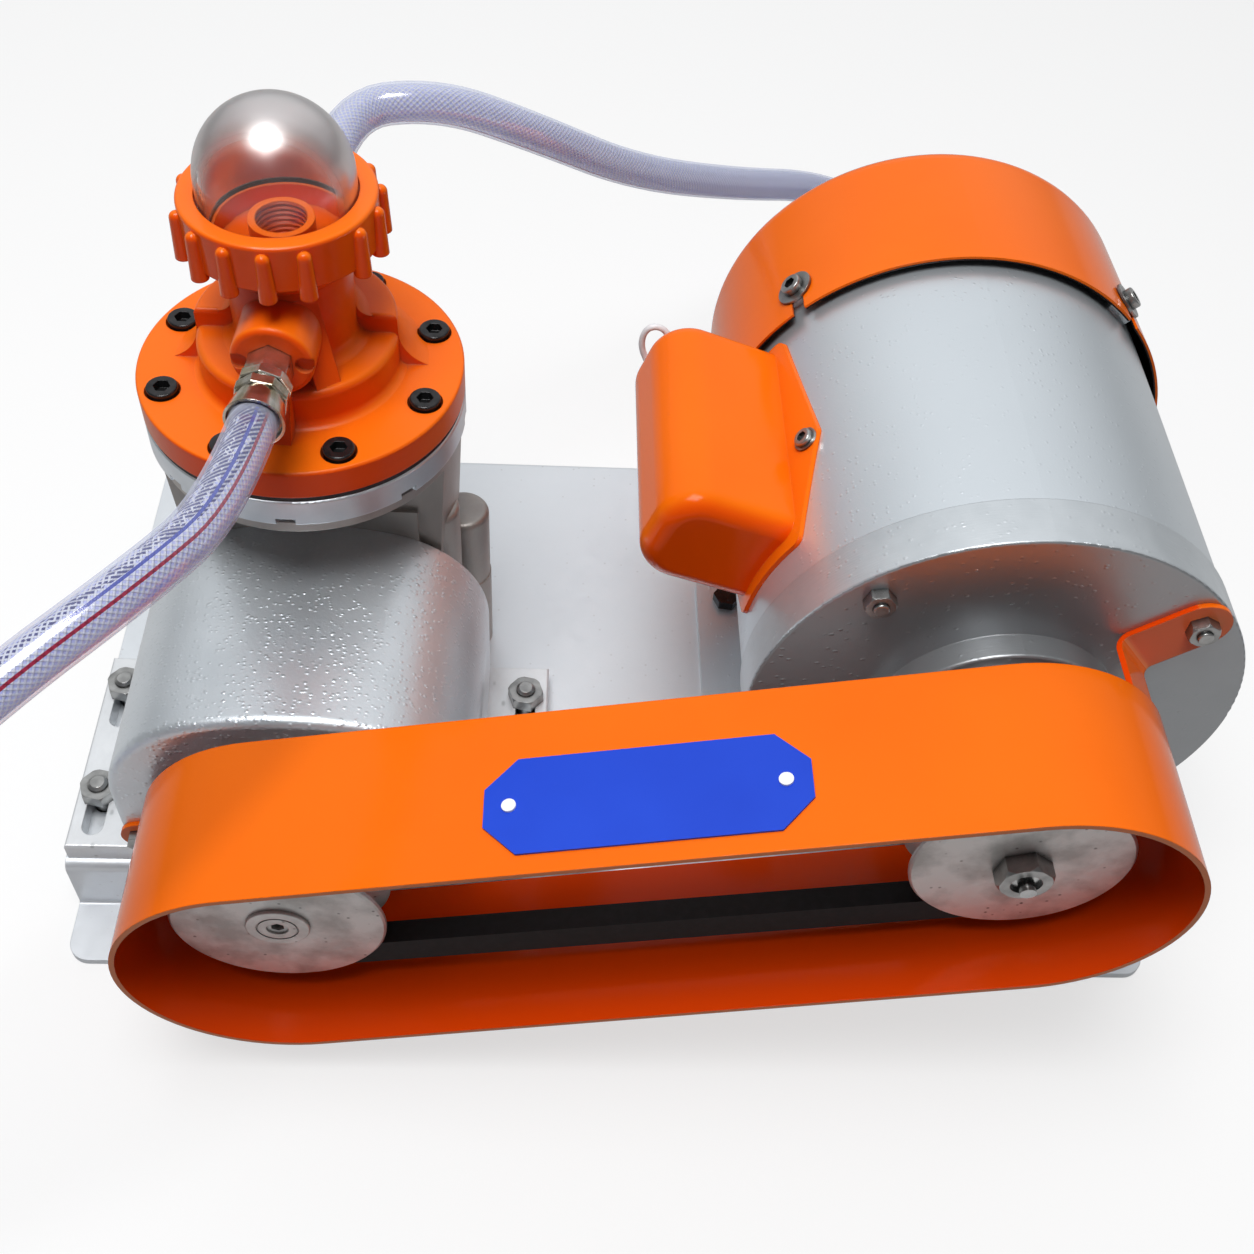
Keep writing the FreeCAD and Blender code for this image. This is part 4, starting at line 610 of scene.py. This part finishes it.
ground_steel = new_finish("ground_steel", 1.0, 0.22)
shades(ground_steel, grain(ground_steel, 200.0, 3.0, (1.0, 8.0, 1.0)),
       [(0.30, (0.45, 0.45, 0.45)), (0.70, (0.62, 0.62, 0.61))])
dress(ground_steel, "crank_bearings", "crankshaft", "rod_bearing", "motor_bearings", "motor_shaft")

seal_rubber = new_finish("seal_rubber", 0.0, 0.62)
shades(seal_rubber, grain(seal_rubber, 220.0, 3.0),
       [(0.30, (0.018, 0.018, 0.018)), (0.70, (0.040, 0.040, 0.040))])
dress(seal_rubber, "shaft_seal", "dome_seal", "suction_valve_disc", "discharge_valve_disc",
      "diaphragm")

turned_aluminium = new_finish("turned_aluminium", 0.80, 0.32)
soft_edges(turned_aluminium, 0.0005)
shades(turned_aluminium, grain(turned_aluminium, 60.0, 4.0),
       [(0.30, (0.60, 0.64, 0.68)), (0.70, (0.74, 0.78, 0.82))])
relief(turned_aluminium, grain(turned_aluminium, 900.0, 2.0, (0.2, 0.2, 3.0)), 0.00003)
dress(turned_aluminium, "diaphragm_flange", "clamp_plates")


# The pump head: an aluminium casting sprayed orange, bolted down with eight black socket screws. It
# has a port at the front and the back, a bowl on top for the clear dome and a grip ring round it.
# Dust lies in its corners. Its hollows and front faces are darkened to a deeper red as painted
# shade.
front_shade_begins = -0.30
front_shade_full = -0.90


def orange_finish(name, roughness, gloss, peel):
    """Orange enamel with the skin of sprayed paint, darker and redder in hollows as painted shade.
    """
    material = new_finish(name, 0.0, roughness, gloss)
    soft_edges(material, 0.0006)
    shades(material, grain(material, 14.0, 4.0),
           [(0.30, (0.93, 0.152, 0.0030)), (0.70, (0.96, 0.170, 0.0040))])
    # Painted shade: a darker red in the hollows.
    stain(material, corners(material, 0.022, 0.75, 0.30, 0.70), (0.56, 0.040, 0.0010))
    relief(material, grain(material, 450.0, 2.0), peel)
    return material


def axes_on_piece(tree, of="Object"):
    """The X, Y and Z of the place on the piece, in metres, or of the piece's own normal."""
    return axes_of(tree, tree.nodes.new("ShaderNodeTexCoord").outputs[of])


def paint_front_shade(material, colour):
    """Paints shade on a piece's own front faces: a deeper colour that turns with the piece."""
    tree = material.node_tree
    facing = axes_on_piece(tree, "Normal")["Y"]
    stain(material, rise(tree, facing, front_shade_begins, front_shade_full), colour)


def square_off_axis(tree, across, axis):
    """Squared distance from an axis, from the two outputs across it and its place in them."""
    squares = [math_step(tree, "POWER", math_step(tree, "SUBTRACT", value, middle), 2.0)
               for value, middle in zip(across, axis)]
    return math_step(tree, "ADD", *squares)


pump_axis = (-0.1140, 0.0021)
thread_radius = 0.0083
thread_pitch = 0.0018
thread_depth = 0.0006
dust_strength = 1.2
orange_casting = orange_finish("orange_casting", 0.32, 0.22, 0.00005)
# Painted shade: a deeper red on the front faces.
paint_front_shade(orange_casting, (0.88, 0.080, 0.0014))
casting_tree = orange_casting.node_tree
patches = math_step(casting_tree, "MULTIPLY", grain(orange_casting, 90.0, 5.0), dust_strength)
dusty = math_step(
    casting_tree, "MULTIPLY", corners(orange_casting, 0.007, 0.70, 0.40, 0.55), patches)
stain(orange_casting, dusty, (0.34, 0.17, 0.10))
casting_axes = axes_on_piece(casting_tree)
off_axis = square_off_axis(casting_tree, (casting_axes["X"], casting_axes["Y"]), pump_axis)
in_thread = math_step(casting_tree, "LESS_THAN", off_axis, thread_radius ** 2)
thread_turn = math_step(casting_tree, "MULTIPLY", casting_axes["Z"], 2.0 * math.pi / thread_pitch)
thread_wave = math_step(casting_tree, "SINE", thread_turn)
relief(orange_casting, math_step(casting_tree, "MULTIPLY", thread_wave, in_thread), thread_depth)
dress(orange_casting, "head_cover")

orange_ring = orange_finish("orange_ring", 0.20, 0.28, 0.00002)
# Painted shade: a deeper red on the front faces.
paint_front_shade(orange_ring, (0.86, 0.082, 0.0014))
dress(orange_ring, "union_ring")

valve_plastic = new_finish("valve_plastic", 0.0, 0.45)
shades(valve_plastic, grain(valve_plastic, 150.0, 3.0),
       [(0.30, (0.62, 0.62, 0.57)), (0.70, (0.70, 0.70, 0.65))])
dress(valve_plastic, "valve_seats", "valve_cages")


# The dome: a thick cap of clear plastic that the union ring clamps on its seal. A grey film over
# all but its front stands in for a room's reflections; the bowl shows through the clear front.
film_begins = -0.0130
film_full = -0.0030
dome_clear = new_finish("filmed_plastic", 0.0, 0.05)
dome_tree = dome_clear.node_tree
dome_shader = dome_tree.nodes["Principled BSDF"]
dome_shader.inputs["Transmission Weight"].default_value = 1.0
dome_shader.inputs["IOR"].default_value = 1.12
dome_shader.inputs["Base Color"].default_value = (0.97, 0.96, 0.95, 1)
film = dome_tree.nodes.new("ShaderNodeBsdfPrincipled")
film.inputs["Metallic"].default_value = 1.0
film.inputs["Roughness"].default_value = 0.30
film.inputs["Base Color"].default_value = (0.82, 0.80, 0.80, 1)
film_share = rise(dome_tree, axes_on_piece(dome_tree)["Y"], film_begins, film_full, 0.06, 0.74)
dome_wall = mix_shaders(dome_tree, film_share, dome_shader.outputs["BSDF"], film.outputs["BSDF"])
dome_path = dome_tree.nodes.new("ShaderNodeLightPath")
dome_open = math_step(
    dome_tree, "MAXIMUM", dome_path.outputs["Is Shadow Ray"], dome_path.outputs["Is Diffuse Ray"])
dome_through = dome_tree.nodes.new("ShaderNodeBsdfTransparent")
dome_through.inputs["Color"].default_value = (0.92, 0.91, 0.90, 1)
dome_surface = mix_shaders(dome_tree, dome_open, dome_wall, dome_through.outputs["BSDF"])
dome_tree.links.new(dome_surface, dome_tree.nodes["Material Output"].inputs["Surface"])
relief(dome_clear, grain(dome_clear, 90.0, 3.0), 0.0001)
dress(dome_clear, "dome")


# The hose fittings: brass couplings plated with nickel that has worn back to yellow in patches.
# The sleeves are crimped over the hose with two rows of pressed flats. Their corners are darkened
# as painted shade.
worn_nickel = new_finish("worn_nickel", 0.95, 0.20)
soft_edges(worn_nickel, 0.0004)
shades(worn_nickel, grain(worn_nickel, 120.0, 5.0),
       [(0.35, (0.42, 0.36, 0.24)), (0.60, (0.76, 0.73, 0.66))])
# Painted shade: the corners are darkened.
stain(worn_nickel, corners(worn_nickel, 0.0015, 0.80, 0.45, 0.9), (0.05, 0.035, 0.02))
relief(worn_nickel, grain(worn_nickel, 500.0, 3.0), 0.00006)
dress(worn_nickel, "port_fittings", "hose_ferrules", "front_hose_end", "rear_hose_end")


# The motor: a rolled steel shell between two cast end bells, all sprayed silver, smooth on the
# shell and rough on the front bell's face, which is darkened as painted shade. Four long rods clamp
# the bells, and a bent foot carries it on the base.
motor_silver = new_finish("motor_silver", 0.70, 0.34)
soft_edges(motor_silver, 0.0005)
shades(motor_silver, grain(motor_silver, 8.0, 4.0),
       [(0.30, (0.68, 0.73, 0.77)), (0.70, (0.75, 0.80, 0.84))])
relief(motor_silver, grain(motor_silver, 1300.0, 2.0), 0.00002)
relief(motor_silver, specks(motor_silver, 520.0, 0.36, 0.30), 0.00008)
dress(motor_silver, "motor_shell", "motor_foot", "rear_end_bell")

bell_silver = new_finish("bell_silver", 0.70, 0.36)
soft_edges(bell_silver, 0.0006)
shades(bell_silver, grain(bell_silver, 60.0, 5.0),
       [(0.30, (0.60, 0.64, 0.67)), (0.70, (0.70, 0.74, 0.77))])
bell_face_y = -0.0923
bell_face_shade_share = 0.8
bell_tree = bell_silver.node_tree
# Painted shade: the front bell's face is darkened.
bell_face = math_step(bell_tree, "LESS_THAN", axes_on_piece(bell_tree)["Y"], bell_face_y)
stain(bell_silver, math_step(bell_tree, "MULTIPLY", bell_face, bell_face_shade_share), (0.32, 0.33, 0.34))
relief(bell_silver, grain(bell_silver, 520.0, 3.0, (0.3, 3.0, 0.3), 0.5), 0.00005)
relief(bell_silver, specks(bell_silver, 520.0, 0.40, 0.22, (0.8, 1.0, 1.0)), 0.00008)
dress(bell_silver, "front_end_bell")


# Inside the motor: varnished copper windings, a laminated rotor and a black plastic fan. The
# capacitor is a pale plastic can under its cover; a loop of its white lead stands out behind it.
winding = new_finish("varnished_copper", 0.3, 0.4)
shades(winding, grain(winding, 400.0, 3.0),
       [(0.30, (0.16, 0.06, 0.02)), (0.70, (0.30, 0.12, 0.04))])
dress(winding, "stator")

lamination = new_finish("laminated_core", 0.8, 0.45)
shades(lamination, grain(lamination, 60.0, 2.0, (1.0, 30.0, 1.0)),
       [(0.30, (0.16, 0.16, 0.16)), (0.70, (0.30, 0.30, 0.30))])
dress(lamination, "rotor")

black_plastic = new_finish("black_plastic", 0.0, 0.5)
shades(black_plastic, grain(black_plastic, 200.0, 3.0),
       [(0.30, (0.010, 0.010, 0.010)), (0.70, (0.020, 0.020, 0.020))])
dress(black_plastic, "fan")

capacitor_shell = new_finish("capacitor_shell", 0.0, 0.35)
shades(capacitor_shell, grain(capacitor_shell, 90.0, 3.0),
       [(0.30, (0.62, 0.62, 0.60)), (0.70, (0.70, 0.70, 0.68))])
dress(capacitor_shell, "capacitor")

lead_radius = 0.0012
lead_route = [
    (0.0080, 0.0330, 0.1480),
    (0.0062, 0.0395, 0.1500),
    (0.0024, 0.0410, 0.1580),
    (0.0040, 0.0415, 0.1660),
    (0.0100, 0.0415, 0.1670),
    (0.0142, 0.0400, 0.1610),
    (0.0140, 0.0330, 0.1550),
]
lead_finish = new_finish("white_insulation", 0.0, 0.35)
shades(lead_finish, grain(lead_finish, 400.0, 3.0),
       [(0.30, (0.74, 0.74, 0.76)), (0.70, (0.86, 0.86, 0.88))])
relief(lead_finish, grain(lead_finish, 900.0, 2.0), 0.00002)
lead = tube_along("capacitor_lead", smooth_line("lead_line", lead_route), lead_radius, 0.0, 12)
lead.data.materials.append(lead_finish)
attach(lead, "frame")


# The sheet covers: the pressed cover over the capacitor and the guard round the belt are thin steel
# sprayed with gloss orange; the fan cover with its grille is the same outside, and near black
# inside as painted shade for the gap round the shell. The guard gets a darker red inside as painted
# shade and a paler orange on its front faces as painted highlight, and a strap holds it at each
# end.
orange_sheet = orange_finish("orange_sheet", 0.14, 0.14, 0.00002)
# Painted shade: a deeper red on the front faces.
paint_front_shade(orange_sheet, (0.90, 0.085, 0.0014))
dress(orange_sheet, "capacitor_cover")

guard_middle = (0.0034, -0.1428, 0.0958)
rim_faces_front = -0.8
rim_highlight_share = 0.55
guard_orange = orange_finish("guard_orange", 0.14, 0.14, 0.00002)
guard_tree = guard_orange.node_tree
guard_surface = guard_tree.nodes.new("ShaderNodeTexCoord")
from_middle = guard_tree.nodes.new("ShaderNodeVectorMath")
from_middle.operation = "SUBTRACT"
from_middle.inputs[1].default_value = guard_middle
outward = guard_tree.nodes.new("ShaderNodeVectorMath")
outward.operation = "DOT_PRODUCT"
guard_tree.links.new(guard_surface.outputs["Object"], from_middle.inputs[0])
guard_tree.links.new(from_middle.outputs["Vector"], outward.inputs[0])
guard_tree.links.new(guard_surface.outputs["Normal"], outward.inputs[1])
# Painted shade: the guard's inner faces get a darker red.
inside = math_step(guard_tree, "LESS_THAN", outward.outputs["Value"], 0.0)
stain(guard_orange, inside, (0.86, 0.062, 0.0012))
# Painted highlight: front-facing faces, the rim, get a paler orange.
rim = math_step(guard_tree, "LESS_THAN", axes_on_piece(guard_tree, "Normal")["Y"], rim_faces_front)
stain(guard_orange, math_step(guard_tree, "MULTIPLY", rim, rim_highlight_share), (0.98, 0.36, 0.16))
dress(guard_orange, "belt_guard")

motor_axis = (0.1200, 0.1184)
cover_front = 0.0392
cover_rear = 0.1130
cover_rear_skin = 0.0009
inner_radius_front = 0.0851
inner_radius_rear = 0.0825
cover_orange = orange_finish("cover_orange", 0.14, 0.14, 0.00002)
cover_tree = cover_orange.node_tree
cover_axes = axes_on_piece(cover_tree)
from_axis = math_step(
    cover_tree, "SQRT", square_off_axis(cover_tree, (cover_axes["X"], cover_axes["Z"]), motor_axis))
inner_radius = rise(cover_tree, cover_axes["Y"], cover_front, cover_rear,
                    inner_radius_front, inner_radius_rear, "LINEAR")
within_wall = math_step(cover_tree, "LESS_THAN", from_axis, inner_radius)
before_rear = math_step(cover_tree, "LESS_THAN", cover_axes["Y"], cover_rear - cover_rear_skin)
# Painted shade: inner faces near black, for the dark gap round the shell.
inner_gap_shade = math_step(cover_tree, "MULTIPLY", within_wall, before_rear)
stain(cover_orange, inner_gap_shade, (0.012, 0.010, 0.010))
dress(cover_orange, "fan_cover")


# The drive: two cast pulleys with turned and pitted faces, a rubber V belt, the nut on the motor's
# threaded shaft end and the socket screw on the pump's.
pulley_metal = new_finish("pulley_metal", 0.45, 0.36)
soft_edges(pulley_metal, 0.0004)
shades(pulley_metal, grain(pulley_metal, 70.0, 8.0),
       [(0.36, (0.52, 0.51, 0.49)), (0.58, (0.86, 0.85, 0.83))])
stain(pulley_metal, specks(pulley_metal, 330.0, 0.26, 0.22), (0.30, 0.29, 0.28))
stain(pulley_metal, specks(pulley_metal, 120.0, 0.10, 0.30), (0.06, 0.06, 0.06))
# Painted shade: the corners are darkened to near black.
stain(pulley_metal, corners(pulley_metal, 0.004, 0.75, 0.35, 0.85), (0.05, 0.05, 0.05))
relief(pulley_metal, grain(pulley_metal, 260.0, 6.0), 0.00016)
dress(pulley_metal, "motor_pulley", "pump_pulley", "pulley_bolt")

belt_rubber = new_finish("belt_rubber", 0.0, 0.50, 0.3)
shades(belt_rubber, grain(belt_rubber, 300.0, 3.0),
       [(0.40, (0.005, 0.005, 0.005)), (0.80, (0.011, 0.011, 0.012))])
relief(belt_rubber, grain(belt_rubber, 900.0, 3.0), 0.00004)
dress(belt_rubber, "belt")


# The name plate: a blank plate of blue enamel with cut corners. Two white rivets hold it on the top
# of the guard.
blue_enamel = new_finish("blue_enamel", 0.0, 0.35, 0.25)
shades(blue_enamel, grain(blue_enamel, 25.0, 3.0),
       [(0.30, (0.008, 0.055, 0.58)), (0.70, (0.011, 0.066, 0.64))])
relief(blue_enamel, grain(blue_enamel, 500.0, 2.0), 0.00002)
dress(blue_enamel, "name_plate")

white_rivet = new_finish("white_rivet", 0.0, 0.4)
shades(white_rivet, grain(white_rivet, 300.0, 2.0),
       [(0.30, (0.88, 0.88, 0.88)), (0.70, (0.94, 0.94, 0.94))])
dress(white_rivet, "plate_rivets")


bpy.context.view_layer.update()
